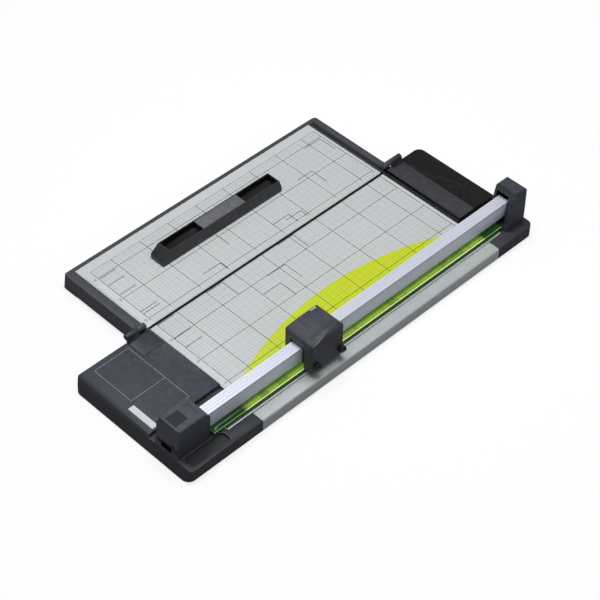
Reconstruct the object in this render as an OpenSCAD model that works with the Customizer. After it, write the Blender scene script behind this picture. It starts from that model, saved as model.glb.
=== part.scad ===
// Sliding disc paper cutter with a folding side table.
// Millimetres. While the pieces are drawn, X = 0 is the cut line, Y = 0 the near
// paper stop and Z = 0 the top of the table plate. The whole is then moved so that
// the origin is the middle of the footprint, on the desk.

/* [Table plates] */
// Height of the table plates above the desk
table_h = 22; // [20:0.5:30]
// Length of both plates along the rail
plate_l = 428.5; // [400:0.5:520]
// Width of the main plate
plate_w = 175; // [150:1:220]
// Thickness of both plates
plate_t = 1; // [0.8:0.1:1.6]
// Distance from the cut line to the main plate
plate_setback = 8; // [8:0.5:12]
// Gap around a plate in its seat
plate_fit = 0.2; // [0.1:0.05:0.4]

/* [Base] */
// Near paper stop to the near edge of the base
near_reach = 123; // [120:1:140]
// Far paper stop to the far edge of the base
far_reach = 76; // [74:1:95]
// Cut line to the right side of the base
rim_w = 25.5; // [25:0.5:32]
// Drop from the table plate to the top of the base tray
rim_drop = 3; // [2.6:0.1:4]
// Width of the tray edge left of the main plate
left_border = 1.5; // [1:0.25:3]
// Corner radius of the base in plan
corner_r = 11; // [8:0.5:14]
// Lean of the near wall from its top to the desk
near_draft = 8; // [2:0.5:10]
// Wall of the base tray
wall = 2.4; // [2:0.2:3]
// Top skin of the base tray and the table frame
skin = 2.4; // [2:0.2:2.8]
// Thickness of the ribs under the tray and the table frame
rib_t = 1.8; // [1.4:0.2:2.6]
// Spacing of the ribs
rib_pitch = 78; // [50:1:110]
// Height of the rubber feet below the base
foot_t = 1.5; // [1:0.25:3]
// Radius of the rubber feet
foot_r = 8; // [6:0.5:9]

/* [Covers] */
// Rise of the near cover above the table plate
cover_rise = 3; // [2:0.5:5]
// Rise of the far cover above the table plate
far_rise = 4.5; // [3:0.5:6]
// Bevel round the outer edges of the covers
bevel = 1.6; // [0.8:0.2:2.2]
// Skin of the covers
cover_skin = 2; // [1.6:0.2:2.4]
// Distance from the cut line to the near cover
near_cover_gap = 51; // [48:1:58]
// Distance from the cut line to the far cover
far_cover_gap = 46; // [44:1:56]
// Depth of the low lip along the front of the far cover
lip_d = 4.5; // [3:0.5:6]
// Height of that lip above the table plate
lip_rise = 1.2; // [0.6:0.2:2]
// Depth of the level band of the far cover
band_d = 28; // [24:1:32]
// Fall of the far cover from that band to its rear edge
rear_fall = 2; // [0:0.25:2.25]

/* [Right margin] */
// Length of the edge cover from the near paper stop
edge_l = 434; // [400:1:450]
// Thickness of the edge cover
edge_t = 1.6; // [1.2:0.1:2.2]
// Outer corner radius of the edge cover
edge_r = 2.6; // [2:0.2:4]
// Half width of the channel that holds the cutting mat
channel_half = 7.5; // [7:0.25:7.75]
// Wall of that channel
channel_t = 1.6; // [1:0.1:1.6]
// Reach of the channel before the near paper stop
channel_near = 41; // [36:1:50]
// Reach of the channel past the far paper stop
channel_far = 28.5; // [24:0.5:31]
// Thickness of the cutting mat
mat_t = 2; // [1.6:0.1:2.2]
// Drop from the table plate to the top of the mat
mat_drop = 0.4; // [0.3:0.1:0.8]

/* [Rail] */
// Width of the rail
rail_w = 16.5; // [15:0.5:18]
// Height of the rail section
rail_h = 23.3; // [22:0.1:26]
// Height of the rail's underside above the table plate
rail_gap = 12.7; // [12.4:0.1:15]
// Distance from the cut line to the rail's right side
rail_off = 2.5; // [2.5:0.1:3.5]
// Wall of the rail extrusion
rail_wall = 2.4; // [2:0.1:2.8]
// Reach of the rail before the near paper stop
rail_near = 76; // [70:1:80]
// Gap from the rail's far end to its pivot
rail_pivot_gap = 9; // [9:0.5:12]
// Depth of the grooves along the top and left of the rail
groove_d = 1.7; // [1.2:0.1:1.8]

/* [Clamp strip] */
// Overhang of the clamp strip left of the rail
strip_overhang = 1.4; // [0.8:0.1:1.6]
// Thickness of the clamp strip
strip_t = 2; // [1.6:0.2:2.4]
// Rest gap between the clamp strip and the table plate
strip_lift = 1.2; // [0.8:0.1:1.5]
// Reach of the clamp strip right of the cut line
strip_right = 2.4; // [1.8:0.1:3]
// Gap between the disc and its slot in the clamp strip
slot_fit = 0.4; // [0.3:0.1:0.6]
// Thickness of the two webs that hang the strip in the rail
web_t = 1.8; // [1.4:0.1:2]

/* [Near lock] */
// Width of the near housing and the cap above it
lock_w = 40; // [38:1:44]
// Near paper stop to the far face of the near housing
lock_gap = 61; // [58:1:64]
// Height of the parting line above the table plate
parting_z = 12; // [11.6:0.2:12.2]
// Height of the cap's top above the table plate
cap_top = 42.5; // [41:0.5:46]
// Width of the window in the near housing
window_w = 18; // [14:0.5:18]
// Height of the window
window_h = 8.6; // [6:0.2:8.8]
// Travel of the lock slider
lock_travel = 6; // [5:0.5:6]

/* [Far post] */
// Height of the post above the table plate
post_top = 54.5; // [53:0.5:60]
// Far paper stop to the near face of the post
post_gap = 35.5; // [34:0.5:38]
// Depth of the post along the rail
post_d = 36; // [35:0.5:38]
// Thickness of the post's left column
post_left_t = 4; // [3.5:0.5:6]
// Thickness of the post's right column
post_right_t = 13.5; // [10:0.5:15]
// Side gap between the rail and the post
post_side = 2.2; // [1:0.2:2.4]
// Headroom between the rail and the arch of the post
arch_room = 9; // [8.8:0.2:10]
// Height of the rail pivot above the table plate
pivot_z = 28; // [27:0.5:29]
// Radius of the rail pivot pin
pivot_r = 2.5; // [2:0.1:3]

/* [Cutting head] */
// Length of the head along the rail
head_l = 56; // [54:1:60]
// Overhang of the head left of the rail
head_left = 13; // [12:0.5:13]
// Overhang of the head right of the cut line
head_right = 17; // [16.5:0.5:18]
// Height of the head's top above the table plate
head_top = 58; // [57:0.5:62]
// Rest gap between the head's right side and the table plate
head_gap = 4.2; // [4.2:0.1:5]
// Wall of the head shell
head_wall = 2.4; // [2:0.1:2.6]
// Thickness of the right side cover of the head
side_cover_t = 3; // [2.4:0.2:3.2]
// Rest place of the head from the near paper stop
head_y = 91; // [60:1:200]
// Downward travel of the head when it is pressed
press_travel = 3.8; // [3:0.1:3.8]
// Radius of the cutting disc
blade_r = 14; // [12:0.5:14]
// Thickness of the cutting disc
blade_t = 0.4; // [0.3:0.05:0.5]
// Radius of the disc's axle
axle_r = 1.5; // [1.2:0.1:2]
// Radius of the two thumb screws
knob_r = 5.2; // [4.5:0.1:5.6]
// Number of grip ribs on the head
grip_count = 13; // [8:1:15]
// Length of one grip rib
grip_l = 7; // [5:0.5:8]

/* [Folding table] */
// Width of the folding table
fold_w = 150; // [145:1:151]
// Width of the near bar of the folding table
bar_near = 17; // [14:0.5:19]
// Width of the far bar of the folding table
bar_far = 18.5; // [16:0.5:21]
// Width of the outer bar of the folding table
bar_left = 7.5; // [6:0.5:10]
// Rise of those bars above their plate
bar_rise = 1; // [0.6:0.2:1.6]
// Height of the bars' underside above the desk
bar_lift = 2.5; // [2:0.25:4]
// Radius of the hinge barrels
barrel_r = 4.2; // [4:0.1:4.4]
// Length of one hinge barrel
barrel_l = 32; // [28:1:36]
// Radius of the hinge pins
pin_r = 1.6; // [1.4:0.1:2]
// Height left between the folded tables above the paper guide
fold_gap = 1.15; // [1.15:0.1:3]

/* [Paper guide] */
// Length of the paper guide
guide_l = 216; // [190:1:220]
// Width of the guide at its foot
guide_w = 24; // [22:0.5:28]
// Height of the guide
guide_h = 17; // [16:0.5:19]
// Inward lean of the guide's right side
guide_lean = 5.5; // [3:0.5:7]
// Distance from the cut line to the guide's right foot
guide_x = 254.5; // [235:0.5:290]
// Near paper stop to the guide's near end
guide_y = 88.5; // [60:0.5:110]
// Length of the slope at the guide's near end
end_run = 14; // [8:1:18]
// Length of the slope at the guide's far end
far_run = 2.5; // [1:0.5:6]
// Length of the middle pad of the guide
pad_l = 76; // [60:1:84]
// Depth of the two wells in the guide
well_d = 10; // [8:0.5:12]

/* [Fits] */
// Radial clearance of pins that turn in a bore
run_fit = 0.05; // [0.02:0.01:0.08]
// Gap between pieces that slide past each other
slide_fit = 0.3; // [0.2:0.05:0.4]
// Gap between pieces that are seated in each other
seat_fit = 0.1; // [0.05:0.01:0.15]
// Radius of the shank of the assembly screws
screw_r = 1.4; // [1.2:0.1:1.6]

/* [Hidden] */
$fn = 64;

// Levels of the base, down from the table plate
desk_z = -table_h;
tray_z0 = desk_z + foot_t;
tray_z1 = -rim_drop;
skin_z = tray_z1 - skin;
bed_z = -plate_t;

// Plan of the base
plate_x1 = -plate_setback;
plate_x0 = plate_x1 - plate_w;
base_x0 = plate_x0 - left_border;
base_x1 = rim_w;
base_y0 = -near_reach;
base_y1 = plate_l + far_reach;
cover_x1 = -near_cover_gap;
far_cover_x1 = -far_cover_gap;
edge_x0 = channel_half + 2 * seat_fit;
channel_y0 = -channel_near;
channel_y1 = plate_l + channel_far;
mat_z1 = -mat_drop;
mat_z0 = mat_z1 - mat_t;
channel_z0 = mat_z0 - channel_t;
channel_z1 = mat_z1 - 0.2;

// Rail and clamp strip
rail_x1 = -rail_off;
rail_x0 = rail_x1 - rail_w;
rail_z0 = rail_gap;
rail_z1 = rail_z0 + rail_h;
rail_mid = (rail_x0 + rail_x1) / 2;
strip_x1 = strip_right;
strip_x0 = rail_x0 - min(strip_overhang, post_side - 0.5);
strip_z0 = strip_lift;
strip_z1 = strip_z0 + strip_t;
web_x = [rail_x0 + rail_wall + 0.8, rail_x1 - rail_wall - 1.8 - web_t];
slot_h = 3;
floor_t = slot_h + rail_wall;
lip_z0 = rail_z0 + 8;
lip_z1 = lip_z0 + 3;
side_wall = groove_d + 1.9;

// Near lock
lock_x0 = -lock_w;
lock_y1 = -lock_gap;
lock_y0 = near_face(parting_z);
cap_lead = 3.7;
cap_slope = [8, 6.5];
window_x0 = -12 - window_w;
window_z0 = tray_z1 + wall;
mark_x0 = -10;
mark_w = 2.4;
mark_d = 1.4;
slider_y0 = lock_y0 + wall + 6;
hook_x0 = -14.5;
hook_x1 = -11.5;
hook_y0 = slider_y0 + 8;
hook_y1 = hook_y0 + 10;
bolt_z0 = window_z0 + 1.6;
bolt_z1 = bolt_z0 + 4;

// Far post and pivot
post_y0 = plate_l + post_gap;
post_y1 = post_y0 + post_d;
arch_x0 = rail_x0 - post_side;
arch_x1 = rail_x1 + min(1, post_side);
arch_z1 = rail_z1 + arch_room;
post_x0 = arch_x0 - post_left_t;
post_x1 = arch_x1 + post_right_t;
pivot_y = post_y1 - 11;
tongue_r = 7;
rail_y0 = -rail_near;
rail_y1 = pivot_y - rail_pivot_gap;
strip_y0 = lock_y1 + 2;
strip_y1 = post_y0 - slide_fit;
disc_slot_y0 = strip_y0 + 12;
disc_slot_y1 = strip_y1 - 12;

// Cutting head
head_x0 = rail_x0 - head_left;
head_x1 = head_right;
head_y1 = head_y + head_l;
head_mid = head_y + head_l / 2;
skirt_z = rail_z0 + 6.3;
disc_z = blade_r + press_travel - mat_drop + 0.1;
shell_x1 = head_x1 - side_cover_t;
saddle_y0 = head_y + head_wall + slide_fit;
saddle_y1 = head_y1 - head_wall - slide_fit;
saddle_z0 = rail_z1 + 0.6;
saddle_z1 = saddle_z0 + 4.4;
roof_z = head_top - head_wall;
notch_z = rail_z1 + press_travel + 0.6;
knob_y = [head_y + 7.6, head_y1 - 5];
knob_z = 15;
knob_shank = 1.6;
hub_r = 4;
holder_x0 = 2.6;
skirt_x0 = strip_x1 + 0.8;
holder_x1 = shell_x1 - seat_fit;
spring_y = [head_mid - 14, head_mid + 14];
spring_r = 4.2;
wire_r = 0.45;
spring_turns = 4;
spring_z0 = saddle_z1 + 0.1;
spring_z1 = saddle_z1 + 8.8;

// Folding table: the axis stands high enough to fold over the paper guide
fold_x = base_x0 - 1.5;
guide_seat = 0.25;
fold_z = (guide_h + guide_seat + fold_gap) / 2;
fold_x1 = fold_x - 1;
fold_x0 = fold_x1 - fold_w;
fold_z0 = desk_z + bar_lift;
fold_y0 = -bar_near;
fold_y1 = plate_l + bar_far;
fold_plate_x0 = fold_x0 + bar_left;
fold_r = 7;
fold_pad = 2 * bar_near - 4;
knuckle_gap = 0.3;
knuckle_reach = 2 * barrel_r + 2.6;
near_split = fold_y0;
far_split = fold_y1 - 1.5;
near_barrel_y1 = near_split + 13;
near_barrel_y0 = near_barrel_y1 - barrel_l;
far_barrel_y0 = far_split - 12.5;
far_barrel_y1 = far_barrel_y0 + barrel_l;
leaf_w = 35;
leaf_groove = 0.8;

// Paper guide
guide_x1 = -guide_x;
guide_x0 = guide_x1 - guide_w;
guide_y1 = guide_y + guide_l;
guide_top = guide_seat + guide_h;
guide_wall = 1.6;
well_y0 = guide_y + end_run + 1.5;
well_y1 = guide_y1 - far_run - 1.5;
pad_y0 = (well_y0 + well_y1 - pad_l) / 2;
pad_y1 = pad_y0 + pad_l;
end_rise = 6;
magnet_y = [guide_y + guide_l / 4, guide_y1 - guide_l / 4];
magnet_x = guide_x1 - guide_w / 2;

// The footprint's middle, which becomes the origin
mid_x = (fold_x0 + base_x1) / 2;
mid_y = (base_y0 + base_y1) / 2;

// Places of the screws: x, y, and the height of the threaded end
boss_in = 5 * wall;
screws = concat(
    [for (x = [base_x0 + 10 * wall, cover_x1 - boss_in])
        [x, base_y0 + 2 * boss_in, cover_rise - cover_skin - 0.5]],
    [[cover_x1 - boss_in, -boss_in, cover_rise - cover_skin - 0.5]],
    [for (x = [base_x0 + plate_w / 3, far_cover_x1 - boss_in])
        [x, base_y1 - boss_in - 4, far_rise - rear_fall / 2 - cover_skin - 0.5]],
    [[far_cover_x1 - boss_in, plate_l + boss_in + 4, far_rise - cover_skin - 0.5]],
    [for (y = [near_barrel_y0 + 8, far_barrel_y1 - 8]) [fold_x + 22, y, 0]],
    [for (x = [lock_x0 + 5, -6]) [x, lock_y1 - 8, 6]],
    [for (y = [post_y0 + 14, post_y1 - 8]) [arch_x1 + 7, y, 10]]
);
feet = [
    for (x = [base_x0 + 38, base_x1 - 14], y = [base_y0 + 22, mid_y, base_y1 - 50]) [x, y]
];

// Y of the leaning near wall at a height
function near_face(z) =
    base_y0 + near_draft * (z - tray_z0) / (cover_rise - tray_z0) * (z > cover_rise ? 0 : 1)
    + (z > cover_rise ? near_draft : 0);

// Box between two corners
module slab(x0, x1, y0, y1, z0, z1) {
    translate([x0, y0, z0]) cube([x1 - x0, y1 - y0, z1 - z0]);
}

// Outline in the XY plane with round corners
module round_rect(x0, x1, y0, y1, r) {
    translate([x0 + r, y0]) square([x1 - x0 - 2 * r, y1 - y0]);
    translate([x0, y0 + r]) square([x1 - x0, y1 - y0 - 2 * r]);
    for (x = [x0 + r, x1 - r], y = [y0 + r, y1 - r]) translate([x, y]) circle(r);
}

// Upright block with a round-cornered plan
module round_block(x0, x1, y0, y1, r, z0, z1) {
    translate([0, 0, z0]) linear_extrude(z1 - z0) round_rect(x0, x1, y0, y1, r);
}

// Side view in Y and Z, drawn across X
module across_x(x0, x1) {
    translate([x0, 0, 0]) rotate([90, 0, 90]) linear_extrude(x1 - x0) children();
}

// Front view in X and Z, drawn along Y
module along_y(y0, y1) {
    translate([0, y1, 0]) rotate([90, 0, 0]) linear_extrude(y1 - y0) children();
}

// Rod along X
module rod_x(x0, x1, y, z, r) {
    translate([x0, y, z]) rotate([0, 90, 0]) cylinder(h = x1 - x0, r = r);
}

// Rod along Y
module rod_y(y0, y1, x, z, r) {
    translate([x, y1, z]) rotate([90, 0, 0]) cylinder(h = y1 - y0, r = r);
}

// Straight ribs along X at even spacing between two Y places
module cross_ribs(x0, x1, y0, y1, z0, z1) {
    count = max(1, round((y1 - y0) / rib_pitch) - 1);
    for (i = [1 : count]) {
        y = y0 + (y1 - y0) * i / (count + 1);
        slab(x0, x1, y - rib_t / 2, y + rib_t / 2, z0, z1);
    }
}

// Arc points about a centre
function arc(cx, cy, r, a0, a1, n) =
    [for (i = [0 : n]) let (a = a0 + (a1 - a0) * i / n) [cx + r * cos(a), cy + r * sin(a)]];

// Plan of the base, drawn in by an inset
module base_plan(inset) {
    round_rect(base_x0 + inset, base_x1 - inset, base_y0 + inset, base_y1 - inset,
        corner_r - inset);
}

// Everything inside the base outline between two heights, with the leaning near wall
module base_envelope(inset, z0, z1) {
    intersection() {
        translate([0, 0, z0]) linear_extrude(z1 - z0) base_plan(inset);
        across_x(base_x0, base_x1) polygon([
            [near_face(z0) + inset, z0],
            [near_face(z1) + inset, z1],
            [base_y1, z1],
            [base_y1, z0]
        ]);
    }
}

// Shallow dish in the tray, right of the near lock
dish_x0 = 3;
dish_y0 = -near_reach + near_draft + 4;
dish_y1 = channel_y0 - 6;
dish_r = 6;
module dish(grow, z0, z1) {
    round_block(dish_x0 - grow, base_x1 - 4.5 + grow, dish_y0 - grow, dish_y1 + grow,
        dish_r, z0, z1);
}

module base_tray() color([0.13, 0.135, 0.15]) {
    edge_seat_x = base_x1 - edge_t - seat_fit;
    difference() {
        union() {
            base_envelope(0, tray_z0, tray_z1);
            slab(base_x0, plate_x1 - plate_fit, 0, plate_l, tray_z1 - 1, bed_z);
        }
        difference() {
            base_envelope(wall, tray_z0 - 1, skin_z);
            slab(base_x1 - edge_t - wall, base_x1, 0, edge_l, tray_z0 - 1, skin_z);
            dish(skin, skin_z - 5, skin_z);
            slab(-channel_half - wall, channel_half + wall, channel_y0 - wall,
                channel_y1 + wall, channel_z0 - skin, skin_z);
            slab(edge_x0 - wall, base_x1, -wall, edge_l + wall,
                tray_z1 - edge_t - skin, skin_z);
            slab(base_x0, plate_x1, mid_y - rib_t, mid_y + rib_t, tray_z0 + 4, skin_z);
            cross_ribs(base_x0, base_x1, base_y0, base_y1, tray_z0 + 4, skin_z);
            for (x = [base_x0 + plate_w * 0.4, plate_x1 - plate_w * 0.23])
                slab(x - rib_t / 2, x + rib_t / 2, base_y0, base_y1, tray_z0 + 4, skin_z);
            for (f = feet) translate([f[0], f[1], tray_z0])
                cylinder(h = skin_z - tray_z0, r = foot_r + 1.6);
        }
        dish(0, skin_z - 1, tray_z1 + 1);
        slab(-channel_half - seat_fit, channel_half + seat_fit, channel_y0 - seat_fit,
            channel_y1 + seat_fit, channel_z0, 1);
        slab(edge_x0 - seat_fit, base_x1 + 1, -seat_fit, edge_l + seat_fit,
            tray_z1 - edge_t, tray_z1 + 1);
        slab(edge_seat_x, base_x1 + 1, -seat_fit, edge_l + seat_fit, tray_z0 - 1, tray_z1 + 1);
        slab(base_x1 - edge_r - seat_fit, base_x1 + 1, -seat_fit, edge_l + seat_fit,
            tray_z1 - edge_r - seat_fit, tray_z1 + 1);
        for (s = screws) translate([s[0], s[1], tray_z0 - 1])
            cylinder(h = table_h, r = screw_r + 0.2);
        for (f = feet) translate([f[0], f[1], tray_z0 - 1])
            cylinder(h = 2, r = foot_r + seat_fit);
    }
}

// Cover skin with skirts that stand on the tray
module cover_shell(x1, y0, y1, top, side_view, hollow_view) {
    difference() {
        intersection() {
            base_envelope(0, tray_z1, top);
            across_x(base_x0, x1) polygon(side_view);
            along_y(y0 - 1, y1 + 1) polygon([
                [base_x0, tray_z1],
                [base_x0, top - bevel],
                [base_x0 + 2 * bevel, top],
                [x1, top],
                [x1, tray_z1]
            ]);
        }
        across_x(base_x0 + wall, x1 - wall) polygon(hollow_view);
    }
}

// Boss for an assembly screw under a cover
module cover_boss(s, top) {
    difference() {
        translate([s[0], s[1], tray_z1]) cylinder(h = top - cover_skin - tray_z1 + 0.1, r = 3.4);
        translate([s[0], s[1], tray_z1 - 1]) cylinder(h = s[2] + 1 - tray_z1, r = screw_r + run_fit);
    }
}

module near_cover() color([0.22, 0.225, 0.25]) {
    hollow_y0 = near_face(cover_rise) + wall + 2 * bevel;
    hollow_z1 = cover_rise - cover_skin;
    difference() {
        cover_shell(cover_x1, base_y0, 0, cover_rise,
            [
                [base_y0, tray_z1],
                [near_face(cover_rise - bevel), cover_rise - bevel],
                [near_face(cover_rise) + 2 * bevel, cover_rise],
                [0, cover_rise],
                [0, tray_z1]
            ],
            [[hollow_y0, tray_z1 - 1], [hollow_y0, hollow_z1], [-wall, hollow_z1],
                [-wall, tray_z1 - 1]]
        );
        slab(base_x0 - 1, fold_x + leaf_w + leaf_groove, near_barrel_y0 - leaf_groove,
            near_barrel_y1 + leaf_groove, tray_z1 - 1, cover_rise + 1);
    }
    for (i = [0 : 2]) cover_boss(screws[i], cover_rise);
}

module far_cover() color([0.09, 0.09, 0.1]) {
    step_y = plate_l + lip_d + 0.5;
    band_y0 = step_y + 1.8;
    band_y1 = band_y0 + band_d;
    hollow_z1 = far_rise - cover_skin;
    difference() {
        cover_shell(far_cover_x1, plate_l, base_y1, far_rise,
            [
                [plate_l + plate_fit, tray_z1],
                [plate_l + plate_fit, lip_rise],
                [step_y, lip_rise],
                [step_y, lip_rise - 0.8],
                [step_y + 0.9, lip_rise - 0.8],
                [band_y0, far_rise],
                [band_y1, far_rise],
                [base_y1 - bevel, far_rise - rear_fall],
                [base_y1, far_rise - rear_fall - bevel / 2],
                [base_y1, tray_z1]
            ],
            [
                [band_y0 + wall, tray_z1 - 1],
                [band_y0 + wall, hollow_z1],
                [band_y1, hollow_z1],
                [base_y1 - wall, hollow_z1 - rear_fall],
                [base_y1 - wall, tray_z1 - 1]
            ]
        );
        slab(base_x0 - 1, base_x0 + 6 + leaf_groove, far_split, far_barrel_y1 + leaf_groove,
            tray_z1 - 1, far_rise + 1);
    }
    for (i = [3 : 5]) cover_boss(screws[i], far_rise - (i < 5 ? rear_fall / 2 : 0));
}

module main_plate() color([0.8, 0.81, 0.82]) {
    slab(plate_x0 + plate_fit, plate_x1 - plate_fit, plate_fit, plate_l - plate_fit, bed_z, 0);
}

module mat_channel() color([0.78, 0.79, 0.8]) {
    along_y(channel_y0, channel_y1) difference() {
        translate([-channel_half, channel_z0])
            square([2 * channel_half, channel_z1 - channel_z0]);
        translate([-channel_half + channel_t, mat_z0])
            square([2 * (channel_half - channel_t), mat_t]);
    }
}

module cutting_mat() color([0.05, 0.05, 0.055]) {
    half = channel_half - channel_t - seat_fit;
    slab(-half, half, channel_y0 + 1, channel_y1 - 1, mat_z0, mat_z1);
}

module edge_cover() color([0.6, 0.63, 0.63]) {
    inner_r = edge_r - edge_t;
    cx = base_x1 - edge_r;
    cz = tray_z1 - edge_r;
    along_y(0, edge_l) polygon(concat(
        [[edge_x0, tray_z1 - edge_t], [edge_x0, tray_z1]],
        arc(cx, cz, edge_r, 90, 0, 8),
        [[base_x1, tray_z0], [base_x1 - edge_t, tray_z0]],
        arc(cx, cz, inner_r, 0, 90, 4)
    ));
}

module lock_housing() color([0.16, 0.165, 0.2]) {
    inner_x0 = lock_x0 + wall;
    inner_y1 = lock_y1 - wall;
    difference() {
        intersection() {
            round_block(lock_x0, 0, base_y0, lock_y1, 4, tray_z1, parting_z - 0.4);
            across_x(lock_x0, 0) polygon([
                [near_face(tray_z1), tray_z1],
                [near_face(cover_rise), cover_rise],
                [lock_y0, parting_z],
                [lock_y1, parting_z],
                [lock_y1, tray_z1]
            ]);
        }
        slab(inner_x0, -wall, lock_y0 + wall, inner_y1, tray_z1 + wall, parting_z);
        slab(window_x0, window_x0 + window_w, base_y0, lock_y0 + wall + 1, window_z0,
            window_z0 + window_h);
        slab(mark_x0, mark_x0 + mark_w, lock_y0 - 1, lock_y0 + mark_d, parting_z - 3.5,
            parting_z);
        for (i = [8, 9]) translate([screws[i][0], screws[i][1], tray_z1 - 1])
            cylinder(h = 4, r = screw_r + run_fit);
    }
    for (i = [8, 9]) difference() {
        translate([screws[i][0], screws[i][1], tray_z1 + wall - 0.5]) cylinder(h = 8, r = 3);
        translate([screws[i][0], screws[i][1], tray_z1]) cylinder(h = 9, r = screw_r + run_fit);
    }
}

module rail_post() color([0.2, 0.2, 0.25]) {
    slope_d = 16;
    slope_h = 12.5;
    difference() {
        intersection() {
            across_x(post_x0, post_x1) polygon(concat(
                [
                    [post_y0, tray_z1],
                    [post_y0, post_top - slope_h],
                    [post_y0 + slope_d, post_top]
                ],
                arc(post_y1 - 3, post_top - 3, 3, 90, 0, 6),
                [[post_y1, tray_z1]]
            ));
            along_y(post_y0, post_y1) polygon([
                [post_x0, tray_z1],
                [post_x0, post_top - 3],
                [post_x0 + 2.5, post_top],
                [post_x1 - 4, post_top],
                [post_x1 - 1.5, post_top - 3],
                [post_x1, tray_z1]
            ]);
            round_block(post_x0, post_x1, post_y0, post_y1, 3, tray_z1, post_top);
        }
        linear_extrude(arch_z1) polygon([
            [arch_x1 - 1, post_y0 - 1],
            [arch_x1 + 6.5, post_y0 - 1],
            [arch_x1 - 1, post_y0 + 9]
        ]);
        slab(arch_x0, arch_x1, post_y0 - 1, post_y1 - 3, 0, arch_z1);
        rod_x(post_x0 - 1, arch_x1 + 9, pivot_y, pivot_z, pivot_r + 0.02);
        for (i = [10, 11]) translate([screws[i][0], screws[i][1], tray_z1 - 1])
            cylinder(h = screws[i][2] + 1.5 - tray_z1, r = screw_r + run_fit);
    }
}

module rail_pivot_pin() color([0.7, 0.7, 0.72]) {
    rod_x(post_x0 + 0.5, arch_x1 + 8.5, pivot_y, pivot_z, pivot_r);
}

// Barrel with a web down to a foot, and a bore for the hinge pin
module barrel(y0, y1, foot_x0, foot_x1, foot_z, bore) {
    difference() {
        union() {
            rod_y(y0, y1, fold_x, fold_z, barrel_r);
            along_y(y0, y1) polygon([
                [foot_x0, foot_z],
                [fold_x + (foot_x0 < fold_x - 4 ? -barrel_r : 0), fold_z],
                [fold_x + (foot_x0 < fold_x - 4 ? 0 : barrel_r), fold_z],
                [foot_x1, foot_z]
            ]);
        }
        rod_y(y0 - 1, y1 + 1, fold_x, fold_z, bore);
    }
}

// Leaf of one hinge, fixed to the base
module base_leaf(y0, y1, barrel_y0, barrel_y1, top, s) {
    difference() {
        union() {
            slab(base_x0, fold_x + leaf_w, y0, y1, tray_z1, top);
            barrel(barrel_y0, barrel_y1, base_x0, base_x0 + 6, top - 0.5, pin_r + 0.02);
        }
        translate([s[0], s[1], tray_z1 - 1])
            cylinder(h = s[2] + 1 - tray_z1, r = screw_r + run_fit);
    }
}

module near_hinge_leaf() color([0.21, 0.215, 0.235]) {
    base_leaf(near_barrel_y0, near_barrel_y1, near_barrel_y0, near_split - knuckle_gap,
        cover_rise, screws[6]);
}

module far_hinge_leaf() color([0.13, 0.135, 0.15]) {
    base_leaf(far_split + knuckle_gap, far_barrel_y1, far_split + knuckle_gap, far_barrel_y1,
        far_rise - cover_skin - seat_fit, screws[7]);
}

module hinge_pins() color([0.7, 0.7, 0.72]) {
    rod_y(near_barrel_y0 + 1, near_barrel_y1 - 1, fold_x, fold_z, pin_r);
    rod_y(far_barrel_y0 + 1, far_barrel_y1 - 1, fold_x, fold_z, pin_r);
}

module base_feet() color([0.07, 0.07, 0.07]) {
    for (f = feet) translate([f[0], f[1], desk_z]) {
        cylinder(h = foot_t + 1, r = foot_r);
    }
}

module base_screws() color([0.6, 0.6, 0.62]) {
    for (s = screws) translate([s[0], s[1], 0]) {
        translate([0, 0, skin_z - 1.8]) cylinder(h = 1.8, r = 2 * screw_r);
        translate([0, 0, skin_z - 0.5]) cylinder(h = s[2] - skin_z + 0.3, r = screw_r);
    }
}

// Plan of the folding table, drawn in by an inset
module fold_plan(inset) {
    round_rect(fold_x0 + inset, fold_x1 - inset, fold_y0 + inset, fold_y1 - inset,
        fold_r - inset);
    translate([fold_x1 - 2 * fold_r, fold_y0 + inset])
        square([2 * fold_r - inset, fold_y1 - fold_y0 - 2 * inset]);
}

module fold_frame() color([0.16, 0.165, 0.18]) {
    roof = bed_z - skin + 0.4;
    difference() {
        union() {
            translate([0, 0, fold_z0]) linear_extrude(bar_rise - fold_z0) fold_plan(0);
            translate([0, 0, desk_z + foot_t]) linear_extrude(bar_lift) intersection() {
                fold_plan(0);
                for (y = [fold_y0, fold_y1 - bar_near])
                    translate([fold_x0, y]) square([fold_pad, bar_near]);
            }
        }
        difference() {
            translate([0, 0, desk_z]) linear_extrude(roof - desk_z) fold_plan(wall);
            cross_ribs(fold_x0, fold_x1, fold_y0, fold_y1, fold_z0 + 3, roof);
            slab((fold_x0 + fold_x1 - rib_t) / 2, (fold_x0 + fold_x1 + rib_t) / 2, fold_y0,
                fold_y1, fold_z0 + 3, roof);
            for (y = [fold_y0, fold_y1 - bar_near])
                slab(fold_x0, fold_x0 + fold_pad, y, y + bar_near, desk_z, fold_z0 + 3);
        }
        slab(fold_plate_x0, fold_x1 + 1, 0, plate_l, bed_z, bar_rise + 1);
    }
}

module fold_plate() color([0.8, 0.81, 0.82]) {
    slab(fold_plate_x0 + plate_fit, fold_x1, plate_fit, plate_l - plate_fit, bed_z, 0);
}

module fold_knuckles() color([0.16, 0.165, 0.18]) {
    spans = [[near_split, near_barrel_y1], [far_barrel_y0, far_split]];
    for (s = spans)
        barrel(s[0], s[1], fold_x - knuckle_reach, fold_x1, bar_rise, pin_r + run_fit);
}

module fold_feet() color([0.07, 0.07, 0.07]) {
    for (y = [fold_y0 + bar_near / 2, fold_y1 - bar_near / 2])
        translate([fold_x0 + fold_pad / 2, y, desk_z])
            cylinder(h = foot_t, r = bar_near * 0.3);
}

// Side view of the paper guide, with both ends bevelled
module guide_side() {
    polygon([
        [guide_y, guide_seat],
        [guide_y, guide_seat + end_rise],
        [guide_y + end_run, guide_top],
        [guide_y1 - far_run, guide_top],
        [guide_y1, guide_seat + end_rise],
        [guide_y1, guide_seat]
    ]);
}

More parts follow.
